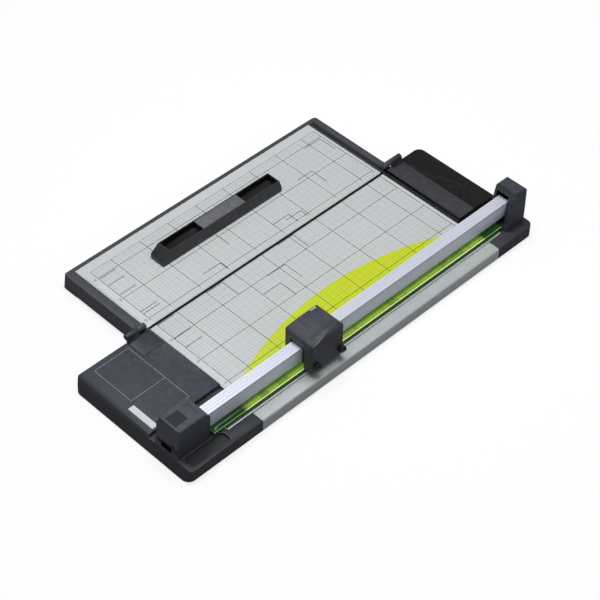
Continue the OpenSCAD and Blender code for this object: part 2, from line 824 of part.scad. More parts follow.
module guide_body() color([0.15, 0.155, 0.16]) {
    top_x1 = guide_x1 - guide_lean;
    difference() {
        intersection() {
            across_x(guide_x0, guide_x1) guide_side();
            along_y(guide_y, guide_y1) polygon([
                [guide_x0, guide_seat],
                [guide_x0, guide_top],
                [top_x1, guide_top],
                [guide_x1, guide_seat + 2],
                [guide_x1, guide_seat]
            ]);
            round_block(guide_x0, guide_x1, guide_y, guide_y1, 1.5, guide_seat, guide_top);
        }
        for (span = [[well_y0, pad_y0], [pad_y1, well_y1]])
            slab(guide_x0 + guide_wall, top_x1 - guide_wall, span[0], span[1],
                guide_top - well_d, guide_top + 1);
        slab(guide_x0 + guide_wall, top_x1 - guide_wall, pad_y0 - 1, pad_y1 + 1,
            guide_top - 2, guide_top + 1);
        for (y = magnet_y) translate([magnet_x, y, guide_seat - 1])
            cylinder(h = 4.2, r = 6 + seat_fit);
    }
}

module guide_pad() color([0.37, 0.37, 0.39]) {
    slab(guide_x0 + guide_wall + seat_fit, guide_x1 - guide_lean - guide_wall - seat_fit,
        pad_y0, pad_y1, guide_top - 2, guide_top + 0.2);
}

module guide_magnets() color([0.6, 0.6, 0.62]) {
    for (y = magnet_y) translate([magnet_x, y, guide_seat + 0.2]) cylinder(h = 3, r = 6);
}

// Section of the rail: hollow, with a carriage groove on the left, two slots for the
// clamp strip's webs below and three fine grooves on top
module rail_section() {
    difference() {
        translate([rail_x0, rail_z0]) square([rail_w, rail_h]);
        translate([rail_x0 + side_wall, rail_z0 + floor_t])
            square([rail_w - side_wall - rail_wall, rail_h - floor_t - rail_wall]);
        translate([rail_x0 - 1, lip_z0]) square([groove_d + 1, lip_z1 - lip_z0]);
        for (x = web_x) translate([x - seat_fit, rail_z0 - 1])
            square([web_t + 2 * seat_fit, slot_h + 1]);
        for (i = [1 : 3]) translate([rail_x0 + rail_w * i / 4 - 0.35, rail_z1 - 0.5])
            square([0.7, 1]);
        translate([rail_x1 - 0.5, rail_z1 - 4]) square([1, 0.8]);
    }
}

module rail() color([0.83, 0.83, 0.86]) {
    along_y(rail_y0, rail_y1) rail_section();
}

module rail_cap() color([0.2, 0.205, 0.24]) {
    top_y0 = lock_y0 + cap_lead;
    inner_y1 = rail_y0 - 2;
    difference() {
        intersection() {
            across_x(lock_x0, 0) polygon([
                [lock_y0, parting_z],
                [top_y0, cap_top],
                [lock_y1 - cap_slope[0] - 2, cap_top],
                [lock_y1 - 2, cap_top - cap_slope[1]],
                [lock_y1, cap_top - 17],
                [lock_y1, parting_z]
            ]);
            along_y(lock_y0, lock_y1) polygon([
                [lock_x0, parting_z],
                [lock_x0, cap_top - 9.5],
                [lock_x0 + 4, cap_top],
                [-1.4, cap_top],
                [-0.4, cap_top - 1],
                [0, parting_z]
            ]);
            round_block(lock_x0, 0, lock_y0, lock_y1, 3, parting_z, cap_top);
        }
        translate([0, lock_y1 + 1, 0]) along_y(rail_y0 - lock_y1 - 1 - seat_fit, 0)
            translate([rail_x0 - seat_fit, rail_z0 - 5])
            square([rail_w + 2 * seat_fit, rail_h + 5 + seat_fit]);
        slab(lock_x0 + wall + 2, -wall, top_y0 + wall, inner_y1, parting_z - 1,
            cap_top - wall - 3);
        slab(lock_x0 + 11.5, -8, top_y0 + 31, top_y0 + 38, cap_top - 0.8, cap_top + 1);
        slab(mark_x0, mark_x0 + mark_w, lock_y0 - 1, lock_y0 + mark_d, parting_z - 1,
            parting_z + 3.5);
    }
    difference() {
        slab(hook_x0, hook_x1, hook_y0, hook_y1, window_z0, cap_top - wall - 2);
        slab(hook_x0 - 1, hook_x1 + 1, hook_y0 + 2, hook_y1 - 2, bolt_z0 - slide_fit,
            bolt_z1 + slide_fit);
    }
}

module rail_end_block() color([0.14, 0.14, 0.15]) {
    inset = seat_fit;
    difference() {
        union() {
            slab(rail_x0 + side_wall + inset, rail_x1 - rail_wall - inset, rail_y1 - 16,
                rail_y1 + 1, rail_z0 + floor_t + inset, rail_z1 - rail_wall - inset);
            slab(rail_x0 + 1, rail_x1 - 1, rail_y1, pivot_y, pivot_z - tongue_r,
                pivot_z + tongue_r);
            rod_x(rail_x0 + 1, rail_x1 - 1, pivot_y, pivot_z, tongue_r);
        }
        rod_x(rail_x0, rail_x1, pivot_y, pivot_z, pivot_r + run_fit);
    }
}

module clamp_strip() color([0.45, 0.75, 0.15, 0.6]) {
    along_y(strip_y0, strip_y1)
        for (x = web_x) translate([x, strip_z1 - 0.1])
            square([web_t, rail_z0 + slot_h - 0.2 - strip_z1 + 0.1]);
    difference() {
        slab(strip_x0, strip_x1, strip_y0, strip_y1, strip_z0, strip_z1);
        slab(-slot_fit, blade_t + slot_fit, disc_slot_y0, disc_slot_y1, 0, rail_z0);
    }
}

module lock_slider() color([0.1, 0.1, 0.11]) {
    plate_x0 = window_x0 - lock_travel - 1.3;
    plate_x1 = window_x0 + window_w + 1.7;
    z0 = tray_z1 + wall + 0.2;
    slab(plate_x0, plate_x1, slider_y0, slider_y0 + 3, z0, parting_z - 3);
    slab(window_x0 + 4, window_x0 + 7, slider_y0 - 3, slider_y0 + 0.1, bolt_z0, bolt_z1);
    slab(window_x0 - 1, window_x0 + 2, slider_y0 + 2.9, hook_y0 + 7, bolt_z0, bolt_z1);
    slab(window_x0 - 1, hook_x0 - 1, hook_y0 + 2 + slide_fit, hook_y1 - 2 - slide_fit,
        bolt_z0, bolt_z1);
}

module carriage() color([0.1, 0.1, 0.11]) {
    left_x0 = rail_x0 - 5.5;
    right_x1 = 1.4;
    leg_l = 8;
    difference() {
        union() {
            slab(left_x0, right_x1, saddle_y0, saddle_y1, saddle_z0, saddle_z1);
            slab(left_x0, rail_x0 - slide_fit, saddle_y0, saddle_y1, skirt_z, saddle_z1);
            slab(rail_x0 - 1, rail_x0 + groove_d - slide_fit, saddle_y0, saddle_y1,
                lip_z0 + slide_fit, lip_z1 - slide_fit);
            for (y = [saddle_y0, saddle_y1 - leg_l]) {
                slab(rail_x1 + slide_fit, right_x1, y, y + leg_l, rail_z0 - 2.4, saddle_z1);
                slab(rail_x1 - 1.4, rail_x1 + 1, y, y + leg_l, rail_z0 - 2.4,
                    rail_z0 - slide_fit);
            }
            for (y = spring_y) translate([rail_mid, y, saddle_z1 - 0.1])
                cylinder(h = 4.5, r = spring_r - wire_r - 0.6);
        }
        for (y = [saddle_y0 + 2, saddle_y1 - 12])
            slab(rail_mid - 5 - seat_fit, rail_mid + 5 + seat_fit, y - seat_fit,
                y + 10 + seat_fit, saddle_z0 - 1, saddle_z0 + 1.5);
    }
}

module glide_pads() color([0.85, 0.85, 0.82]) {
    for (y = [saddle_y0 + 2, saddle_y1 - 12])
        slab(rail_mid - 5, rail_mid + 5, y, y + 10, rail_z1 + 0.2, saddle_z0 + 1.5);
}

// Coil between the carriage and the roof of the head, swept along a helix
module coil(y) {
    sides = 6;
    steps = 16;
    z0 = spring_z0 + wire_r;
    rise = spring_z1 - spring_z0 - 2 * wire_r - 0.1;
    n = steps * spring_turns;
    points = [
        for (i = [0 : n], k = [0 : sides - 1])
            let (
                a = 360 * i / steps,
                b = 360 * k / sides,
                r = spring_r + wire_r * cos(b)
            )
            [rail_mid + r * cos(a), y + r * sin(a), z0 + rise * i / n + wire_r * sin(b)]
    ];
    walls = [
        for (i = [0 : n - 1], k = [0 : sides - 1])
            let (p = i * sides, q = (k + 1) % sides)
            [p + k, p + sides + k, p + sides + q, p + q]
    ];
    caps = [
        [for (k = [0 : sides - 1]) k],
        [for (k = [0 : sides - 1]) n * sides + sides - 1 - k]
    ];
    polyhedron(points, concat(walls, caps));
}

module press_springs() color([0.6, 0.6, 0.62]) {
    for (y = spring_y) coil(y);
}

// Side view of the head, drawn in by an inset, down to a given height
module head_side(inset, z0) {
    w = inset;
    polygon([
        [head_y + w, z0],
        [head_y + w, head_top - 11 - w * 0.4],
        [head_y + 3 + w * 0.8, head_top - 7.5 - w * 0.8],
        [head_y + 30 + w * 0.2, head_top - w],
        [head_y1 - 5 - w * 0.4, head_top - w],
        [head_y1 - w, head_top - 5 - w * 0.4],
        [head_y1 - w, z0]
    ]);
}

// Front view of the head, drawn in by an inset
module head_front(inset, x1) {
    w = inset;
    polygon([
        [head_x0 + w, skirt_z - (w > 0 ? 30 : 0)],
        [head_x0 + w, head_top - 8 - w * 0.4],
        [head_x0 + 2 + w * 0.7, head_top - 3.2 - w * 0.7],
        [head_x0 + 7 + w * 0.4, head_top - w],
        [head_x1 - 7, head_top - w],
        [min(x1, head_x1 - 3), head_top - 1.2 - w * 0.8],
        [x1, head_top - (x1 < head_x1 ? 1.6 : 4.5) - w * 0.5],
        [x1, head_gap - (w > 0 ? 30 : 0)],
        [skirt_x0, head_gap - (w > 0 ? 30 : 0)],
        [skirt_x0, skirt_z - (w > 0 ? 30 : 0)]
    ]);
}

// Grip ribs across the right part of the head's top
module grip_ribs() {
    pitch = head_l / (grip_count + 5.6);
    x1 = shell_x1 - 2 * head_wall;
    for (i = [0 : grip_count - 1]) {
        y = head_mid - pitch * (grip_count - 1) / 2 + pitch * i;
        slab(x1 - grip_l, x1, y - 0.5, y + 0.5, head_top - 2 * grip_l, head_top + 1);
    }
}

module head_shell() color([0.2, 0.205, 0.235]) {
    for (y = spring_y) translate([rail_mid, y, spring_z1])
        cylinder(h = head_top - head_wall * 0.6 - 6.6 * (y < head_mid ? 1 : 0) - spring_z1,
            r = spring_r + wire_r + 0.6);
    difference() {
        intersection() {
            across_x(head_x0, shell_x1) head_side(0, head_gap);
            along_y(head_y, head_y1) head_front(0, shell_x1);
            translate([0, 0, head_gap]) linear_extrude(head_top - head_gap) union() {
                round_rect(head_x0, head_x1, head_y, head_y1, 4);
                translate([0, head_y]) square([shell_x1, head_l]);
            }
        }
        intersection() {
            across_x(head_x0, shell_x1 + 1) head_side(head_wall, 0);
            along_y(head_y, head_y1) head_front(head_wall, shell_x1 + 1);
        }
        slab(rail_x0 - 2, skirt_x0, head_y - 1, head_y1 + 1, 0, notch_z);
        intersection() {
            grip_ribs();
            difference() {
                across_x(head_x0, head_x1) head_side(0, 0);
                across_x(head_x0, head_x1) head_side(0.7, 0);
            }
        }
    }
}

module head_side_cover() color([0.19, 0.195, 0.225]) {
    difference() {
        intersection() {
            across_x(shell_x1 + seat_fit, head_x1) head_side(0.3, head_gap);
            along_y(head_y, head_y1) polygon([
                [shell_x1 + seat_fit, head_gap],
                [shell_x1 + seat_fit, head_top - 1.8],
                [head_x1 - 1, head_top - 3],
                [head_x1, head_top - 5],
                [head_x1, head_gap]
            ]);
            translate([0, 0, head_gap]) linear_extrude(head_top - head_gap)
                round_rect(head_x0, head_x1, head_y + 0.3, head_y1 - 0.3, 2.6);
        }
        for (y = knob_y) rod_x(shell_x1, head_x1 + 1, y, knob_z, knob_shank + run_fit);
    }
}

module blade_holder() color([0.12, 0.12, 0.13]) {
    wide_x0 = holder_x1 - 5.5;
    z0 = knob_z - 6;
    z1 = knob_z + 15;
    block_half = 12;
    difference() {
        union() {
            slab(wide_x0, holder_x1, head_y + head_wall + 0.2, head_y1 - head_wall - 0.2, z0, z1);
            slab(holder_x0, wide_x0 + 0.1, head_mid - block_half, head_mid + block_half, z0, z1);
        }
        rod_x(holder_x0 - 1, holder_x1 - 2, head_mid, disc_z, axle_r + 0.02);
        for (y = knob_y) rod_x(wide_x0 - 1, holder_x1 + 1, y, knob_z, knob_shank + run_fit);
    }
}

module blade_axle() color([0.75, 0.75, 0.77]) {
    rod_x(-1.7, holder_x1 - 2.2, head_mid, disc_z, axle_r);
}

module cutting_disc() color([0.8, 0.8, 0.82]) {
    difference() {
        union() {
            translate([0, head_mid, disc_z]) rotate([0, 90, 0])
                rotate_extrude() polygon([
                    [hub_r, 0], [blade_r - 1.2, 0], [blade_r, 0.1], [blade_r, 0.12],
                    [blade_r - 1.2, blade_t], [hub_r, blade_t]
                ]);
            rod_x(0, blade_t, head_mid, disc_z, hub_r + 0.1);
        }
        rod_x(-1, 1, head_mid, disc_z, 2.2 + seat_fit);
    }
}

module disc_hub() color([0.15, 0.15, 0.16]) {
    difference() {
        union() {
            rod_x(-1.3, -0.02, head_mid, disc_z, hub_r);
            rod_x(-0.1, blade_t + 0.1, head_mid, disc_z, 2.2);
            rod_x(blade_t + 0.02, 2, head_mid, disc_z, hub_r);
        }
        rod_x(-2, 3, head_mid, disc_z, axle_r + run_fit);
    }
}

// Thumb screw: shank, knurled head and a small wing
module thumb_screw(y) {
    flutes = 14;
    face = head_x1 + slide_fit;
    rod_x(holder_x1 - 5, face + 0.1, y, knob_z, knob_shank);
    difference() {
        rod_x(face, face + 4.4, y, knob_z, knob_r);
        for (i = [0 : flutes - 1])
            rod_x(face - 1, face + 5, y + (knob_r + 0.25) * cos(360 * i / flutes),
                knob_z + (knob_r + 0.25) * sin(360 * i / flutes), 0.6);
    }
    slab(face + 4.3, face + 6.8, y - knob_r + 1.6, y + knob_r - 1.6, knob_z - 1.1, knob_z + 1.1);
}

module near_thumb_screw() color([0.07, 0.07, 0.08]) {
    thumb_screw(knob_y[0]);
}

module far_thumb_screw() color([0.07, 0.07, 0.08]) {
    thumb_screw(knob_y[1]);
}

// Moves a piece from the drawing frame to the object's frame
module place() {
    translate([-mid_x, -mid_y, table_h]) children();
}

place() base_tray();
place() near_cover();
place() far_cover();
place() main_plate();
place() mat_channel();
place() cutting_mat();
place() edge_cover();
place() lock_housing();
place() rail_post();
place() rail_pivot_pin();
place() near_hinge_leaf();
place() far_hinge_leaf();
place() hinge_pins();
place() base_feet();
place() base_screws();
place() fold_frame();
place() fold_plate();
place() fold_knuckles();
place() fold_feet();
place() guide_body();
place() guide_pad();
place() guide_magnets();
place() rail();
place() rail_cap();
place() rail_end_block();
place() clamp_strip();
place() lock_slider();
place() carriage();
place() glide_pads();
place() press_springs();
place() head_shell();
place() head_side_cover();
place() blade_holder();
place() blade_axle();
place() cutting_disc();
place() disc_hub();
place() near_thumb_screw();
place() far_thumb_screw();
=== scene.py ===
"""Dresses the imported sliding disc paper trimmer.

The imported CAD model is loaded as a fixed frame. Each sub-assembly is a class that
makes finer copies of its nodes, adds the prints and small trim, and gives every
piece a procedural finish. All sizes are in millimetres in the drawing frame, where
x = 0 is the cut line, y = 0 the near paper stop and z = 0 the top of the table.
"""
from __future__ import annotations

import logging
import math
from collections.abc import Callable
from dataclasses import dataclass
from enum import Enum

import bmesh
import bpy
from mathutils import Euler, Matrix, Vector


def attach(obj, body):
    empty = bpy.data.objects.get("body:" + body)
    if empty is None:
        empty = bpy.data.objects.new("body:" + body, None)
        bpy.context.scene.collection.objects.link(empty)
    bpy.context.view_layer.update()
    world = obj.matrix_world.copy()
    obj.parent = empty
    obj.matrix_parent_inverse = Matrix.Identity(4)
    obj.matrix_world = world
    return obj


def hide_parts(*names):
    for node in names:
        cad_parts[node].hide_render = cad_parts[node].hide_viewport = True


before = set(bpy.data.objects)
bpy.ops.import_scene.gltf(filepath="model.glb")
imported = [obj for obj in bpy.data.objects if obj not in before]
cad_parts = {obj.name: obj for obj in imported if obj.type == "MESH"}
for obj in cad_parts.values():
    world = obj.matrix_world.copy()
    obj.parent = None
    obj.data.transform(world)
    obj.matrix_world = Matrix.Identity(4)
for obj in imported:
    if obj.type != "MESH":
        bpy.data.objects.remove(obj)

log = logging.getLogger("trimmer")

MM = 0.001
SHIFT = Vector((155.75, -190.75, 22.0))
PRINT_Z = -0.03
PRINT_TOP = 0.03
SHARP_ANGLE = 70.0
MERGE_DISTANCE = 1e-6
FLAT_ANGLE = 0.6
PLATE_TOP = (0.0216, 0.0218)
BOLD_PITCH = 50.0
TICKS = (("mm", 1.0, 1.6), ("five", 5.0, 2.6), ("ten", 10.0, 4.0))
RULINGS = ((10, 0.18, 0.56), (5, 0.14, 0.36), (1, 0.08, 0.13))
Rect = tuple[float, float, float, float]
Triple = tuple[float, float, float]
Pair = tuple[float, float]
Node = bpy.types.Node
Object = bpy.types.Object
Socket = bpy.types.NodeSocket
Tree = bpy.types.NodeTree


def place(x: float, y: float, z: float) -> Vector:
    """A point of the drawing frame, in metres in the row frame."""
    return (Vector((x, y, z)) + SHIFT) * MM


def linear(rgb: Triple) -> tuple[float, float, float, float]:
    """An sRGB colour of 0 to 255 as linear RGBA."""
    def channel(value: float) -> float:
        """One channel from sRGB to linear."""
        c = value / 255.0
        return c / 12.92 if c <= 0.04045 else ((c + 0.055) / 1.055) ** 2.4
    return (*[channel(v) for v in rgb], 1.0)


def over(at: Vector, rect: Rect) -> bool:
    """Whether a point lies over a rectangle of x0, x1, y0, y1."""
    x0, x1, y0, y1 = rect
    return x0 < at.x < x1 and y0 < at.y < y1


def linked(name: str, data: bpy.types.ID) -> Object:
    """A new object in the scene."""
    obj = bpy.data.objects.new(name, data)
    bpy.context.scene.collection.objects.link(obj)
    return obj


def settle(node: Node, **values: object) -> None:
    """Sets inputs of a node, with _ for a space."""
    for key, value in values.items():
        node.inputs[key.replace("_", " ")].default_value = value


class Body(Enum):
    """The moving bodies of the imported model."""

    BASE = "base"
    SIDE = "side_table"
    GUIDE = "paper_guide"
    RAIL = "rail_beam"
    LOCK = "lock"
    RUNNER = "runner"
    HEAD = "head"
    DISC = "disc"
    NEAR_KNOB = "near_knob"
    FAR_KNOB = "far_knob"


class Sheen(Enum):
    """How strongly a moulded surface shows its grain."""

    GRAINED = 0.35
    SATIN = 0.15
    POLISHED = 0.03


# ---------------------------------------------------------------- node groups


class Graph:
    """Small helper that adds and links shader or geometry nodes."""

    def __init__(self, tree: Tree) -> None:
        """Keeps the tree."""
        self.tree = tree

    def add(self, kind: str, **values: object) -> Node:
        """Adds a node.

        Args:
            kind: the node's type name.
            values: attributes of the node.

        Returns:
            The new node.
        """
        node = self.tree.nodes.new(kind)
        for key, value in values.items():
            setattr(node, key, value)
        return node

    def link(self, out: Socket, into: Socket) -> None:
        """Links two sockets."""
        self.tree.links.new(out, into)

    def feed(self, socket: Socket, value: object) -> None:
        """Links a socket, or sets a plain value."""
        if isinstance(value, Socket):
            self.link(value, socket)
        else:
            socket.default_value = value

    def math(self, op: str, a: object, b: object = 0.0, c: object = 0.0,
             clamp: bool = False) -> Socket:
        """A Math node.

        Args:
            op: the operation.
            a: first value or socket.
            b: second value or socket.
            c: third value or socket.
            clamp: keeps the result within 0 and 1.

        Returns:
            The result socket.
        """
        node = self.add("ShaderNodeMath", operation=op, use_clamp=clamp)
        for socket, value in zip(node.inputs, (a, b, c)):
            self.feed(socket, value)
        return node.outputs[0]

    def times(self, a: object, b: object) -> Socket:
        """The product of two values or sockets."""
        return self.math("MULTIPLY", a, b)

    def ramp(self, value: object, lo: object, hi: object, to_lo: float = 0.0,
             to_hi: float = 1.0) -> Socket:
        """A smooth Map Range.

        Args:
            value: what is mapped.
            lo: the value that gives to_lo.
            hi: the value that gives to_hi.
            to_lo: the low result.
            to_hi: the high result.

        Returns:
            The result socket.
        """
        node = self.add("ShaderNodeMapRange", interpolation_type="SMOOTHSTEP")
        for socket, item in zip(node.inputs, (value, lo, hi, to_lo, to_hi)):
            self.feed(socket, item)
        return node.outputs[0]

    def mix(self, factor: object, a: object, b: object,
            blend: str = "MIX") -> Socket:
        """A colour Mix node.

        Args:
            factor: the mixing factor.
            a: the first colour.
            b: the second colour.
            blend: the blend mode.

        Returns:
            The result socket.
        """
        node = self.add("ShaderNodeMix", data_type="RGBA", blend_type=blend)
        self.feed(node.inputs[0], factor)
        self.feed(node.inputs[6], a)
        self.feed(node.inputs[7], b)
        return node.outputs[2]

    def noise(self, vector: Socket, scale: object, detail: float = 3.0,
              rough: float = 0.5) -> Socket:
        """The value of a Noise texture.

        Args:
            vector: where it is read.
            scale: its scale.
            detail: its detail.
            rough: its roughness.

        Returns:
            The factor socket.
        """
        node = self.add("ShaderNodeTexNoise")
        self.link(vector, node.inputs["Vector"])
        self.feed(node.inputs["Scale"], scale)
        settle(node, Detail=detail, Roughness=rough)
        return node.outputs["Fac"]

    def coords(self) -> Socket:
        """Object coordinates."""
        return self.add("ShaderNodeTexCoord").outputs["Object"]

    def split(self, vector: Socket) -> Node:
        """The node with the X, Y and Z of a vector."""
        node = self.add("ShaderNodeSeparateXYZ")
        self.link(vector, node.inputs[0])
        return node

    def grey(self, value: Socket) -> Socket:
        """A value as a grey colour."""
        node = self.add("ShaderNodeCombineColor")
        for socket in node.inputs:
            self.link(value, socket)
        return node.outputs[0]

    def seen(self) -> Socket:
        """1 on rays from the camera, also through clear pieces."""
        rays = self.add("ShaderNodeLightPath").outputs
        return self.math("MAXIMUM", rays["Is Camera Ray"], rays["Is Transmission Ray"])


class SurfaceKit:
    """Builds each shared shader effect once, as a node group."""

    def __init__(self) -> None:
        """Builds the groups."""
        self.grain = self._grain()
        self.wear = self._wear()
        self.brushed = self._brushed()
        self.ruling = self._ruling()

    @staticmethod
    def _group(name: str, inputs: dict[str, float], outputs: tuple[str, ...]
               ) -> tuple[Graph, Node, Node]:
        """An empty shader group.

        Args:
            name: the group's name.
            inputs: float inputs and their defaults.
            outputs: float outputs.

        Returns:
            The graph, its input node and its output node.
        """
        tree = bpy.data.node_groups.new(name, "ShaderNodeTree")
        for key, value in inputs.items():
            socket = tree.interface.new_socket(key, in_out="INPUT",
                                               socket_type="NodeSocketFloat")
            socket.default_value = value
        for key in outputs:
            tree.interface.new_socket(key, in_out="OUTPUT", socket_type="NodeSocketFloat")
        graph = Graph(tree)
        return graph, graph.add("NodeGroupInput"), graph.add("NodeGroupOutput")

    def _grain(self) -> Tree:
        """Fine moulded grain: a height, and a slow change of tone."""
        g, gin, out = self._group("moulded_grain", {"Size": 0.0006, "Tone": 0.1},
                                  ("Height", "Shade"))
        where = g.coords()
        scale = g.math("DIVIDE", 1.0, gin.outputs["Size"])
        fine = g.noise(where, scale, 2.0, 0.6)
        slow = g.noise(where, 9.0, 4.0, 0.55)
        cloud = g.noise(where, 60.0, 3.0, 0.6)
        both = g.math("ADD", g.times(slow, 0.7), g.times(cloud, 0.3))
        shade = g.math("MULTIPLY_ADD", g.math("SUBTRACT", both, 0.5), gin.outputs["Tone"], 1.0)
        g.link(fine, out.inputs["Height"])
        g.link(shade, out.inputs["Shade"])
        return g.tree

    def _wear(self) -> Tree:
        """Rubbed edges and a trace of dust on what faces up."""
        g, gin, out = self._group("edge_wear", {"Edge": 0.5, "Dust": 0.1}, ("Rub", "Dust"))
        geometry = g.add("ShaderNodeNewGeometry")
        where = g.coords()
        patch = g.noise(where, 130.0, 5.0, 0.65)
        edge = g.ramp(geometry.outputs["Pointiness"], 0.515, 0.58)
        rub = g.math("MULTIPLY", g.times(edge, g.ramp(patch, 0.4, 0.7)),
                     gin.outputs["Edge"], clamp=True)
        split = g.split(geometry.outputs["Normal"])
        up = g.ramp(split.outputs["Z"], 0.6, 1.0)
        specks = g.ramp(g.noise(where, 900.0, 2.0, 0.7), 0.55, 0.75)
        veil = g.ramp(g.noise(where, 25.0, 4.0, 0.6), 0.4, 0.8)
        dust = g.math("MULTIPLY", g.times(up, gin.outputs["Dust"]),
                      g.math("MULTIPLY_ADD", specks, 0.6, g.times(veil, 0.5)),
                      clamp=True)
        g.link(rub, out.inputs["Rub"])
        g.link(dust, out.inputs["Dust"])
        return g.tree

    def _brushed(self) -> Tree:
        """Lines drawn along the length of a rolled or drawn part."""
        g, gin, out = self._group("drawn_lines", {"Pitch": 0.0006}, ("Height", "Shade"))
        split = g.split(g.coords())
        scale = g.math("DIVIDE", 1.0, gin.outputs["Pitch"])
        join = g.add("ShaderNodeCombineXYZ")
        g.link(g.times(split.outputs["X"], scale), join.inputs[0])
        g.link(g.times(split.outputs["Y"], 6.0), join.inputs[1])
        g.link(g.times(split.outputs["Z"], scale), join.inputs[2])
        lines = g.noise(join.outputs[0], 1.0, 3.0, 0.6)
        g.link(lines, out.inputs["Height"])
        g.link(g.math("MULTIPLY_ADD", g.math("SUBTRACT", lines, 0.5), 0.16, 1.0),
               out.inputs["Shade"])
        return g.tree

    def _ruling(self) -> Tree:
        """Fine printed lines at an even pitch both ways."""
        g, gin, out = self._group(
            "fine_ruling", {"Pitch": 0.01, "Half Width": 0.0001, "X0": 0.0, "Y0": 0.0},
            ("Lines",))
        split = g.split(g.coords())
        half = g.times(gin.outputs["Pitch"], 0.5)
        soft = g.times(gin.outputs["Half Width"], 1.5)
        lines = []
        for axis, start in (("X", "X0"), ("Y", "Y0")):
            off = g.math("SUBTRACT", split.outputs[axis], gin.outputs[start])
            away = g.math("PINGPONG", off, half)
            lines.append(g.ramp(away, soft, g.times(soft, 0.4)))
        g.link(g.math("MAXIMUM", lines[0], lines[1]), out.inputs["Lines"])
        return g.tree


@dataclass(frozen=True)
class Finish:
    """What every finish has: a name, a colour and a roughness."""

    name: str
    rgb: Triple
    roughness: float = 0.5

    def build(self, kit: SurfaceKit) -> bpy.types.Material:
        """Makes the material.

        Args:
            kit: the shared groups.

        Returns:
            The material.
        """
        mat = bpy.data.materials.new(self.name)
        mat.use_nodes = True
        mat.diffuse_color = linear(self.rgb)
        graph = Graph(mat.node_tree)
        shader = mat.node_tree.nodes["Principled BSDF"]
        settle(shader, Base_Color=linear(self.rgb), Roughness=self.roughness)
        self.wire(kit, graph, shader)
        return mat

    def wire(self, kit: SurfaceKit, g: Graph, shader: Node) -> None:
        """Adds the nodes of this kind of finish, in each subclass.

        Args:
            kit: the shared groups.
            g: the material's graph.
            shader: its Principled node.
        """
        raise NotImplementedError

    @staticmethod
    def group(graph: Graph, tree: Tree, **values: float) -> Node:
        """Places a shared group in a material.

        Args:
            graph: the material's graph.
            tree: the group.
            values: its inputs, with _ for a space.

        Returns:
            The group node.
        """
        node = graph.add("ShaderNodeGroup", node_tree=tree)
        settle(node, **values)
        return node

    @staticmethod
    def bump(graph: Graph, shader: Node, height: Socket,
             strength: float, distance: float) -> None:
        """Feeds a height into the shader's normal.

        Args:
            graph: the material's graph.
            shader: its Principled node.
            height: the height socket.
            strength: the bump's strength.
            distance: the bump's depth in metres.
        """
        node = graph.add("ShaderNodeBump")
        settle(node, Strength=strength, Distance=distance)
        graph.link(height, node.inputs["Height"])
        graph.link(node.outputs[0], shader.inputs["Normal"])


@dataclass(frozen=True)
class Moulding(Finish):
    """A moulded plastic."""

    sheen: Sheen = Sheen.GRAINED
    edge: float = 0.35
    dust: float = 0.03
    tone: float = 0.09

    def wire(self, kit: SurfaceKit, g: Graph, shader: Node) -> None:
        """Adds the nodes of this kind of finish."""
        grain = self.group(g, kit.grain, Size=0.0005, Tone=self.tone)
        wear = self.group(g, kit.wear, Edge=self.edge, Dust=self.dust)
        base = linear(self.rgb)
        pale = tuple(min(1.0, c * 1.6 + 0.03) for c in base[:3]) + (1.0,)
        colour = g.mix(1.0, base, g.grey(grain.outputs["Shade"]), "MULTIPLY")
        colour = g.mix(wear.outputs["Rub"], colour, pale)
        colour = g.mix(wear.outputs["Dust"], colour, linear((170, 168, 164)))
        g.link(colour, shader.inputs["Base Color"])
        rough = g.math("MULTIPLY_ADD", wear.outputs["Dust"], 0.4,
                       g.times(grain.outputs["Shade"], self.roughness), clamp=True)
        g.link(rough, shader.inputs["Roughness"])
        if self.sheen is Sheen.POLISHED:
            settle(shader, Coat_Weight=0.2, Coat_Roughness=0.1)
        self.bump(g, shader, grain.outputs["Height"], self.sheen.value, 0.0001)


@dataclass(frozen=True)
class Metal(Finish):
    """A drawn or ground metal."""

    lines: float = 0.25
    pitch: float = 0.0006
    metallic: float = 1.0

    def wire(self, kit: SurfaceKit, g: Graph, shader: Node) -> None:
        """Adds the nodes of this kind of finish."""
        drawn = self.group(g, kit.brushed, Pitch=self.pitch)
        grain = self.group(g, kit.grain, Size=0.004, Tone=0.12)
        wear = self.group(g, kit.wear, Edge=0.3, Dust=0.05)
        shade = g.times(drawn.outputs["Shade"], grain.outputs["Shade"])
        colour = g.mix(1.0, linear(self.rgb), g.grey(shade), "MULTIPLY")
        g.link(g.mix(wear.outputs["Dust"], colour, linear((160, 158, 154))),
               shader.inputs["Base Color"])
        rough = g.math("MULTIPLY_ADD", g.math("SUBTRACT", drawn.outputs["Height"], 0.5), 0.2,
                       self.roughness, clamp=True)
        g.link(rough, shader.inputs["Roughness"])
        settle(shader, Metallic=self.metallic)
        self.bump(g, shader, drawn.outputs["Height"], self.lines, 0.00005)


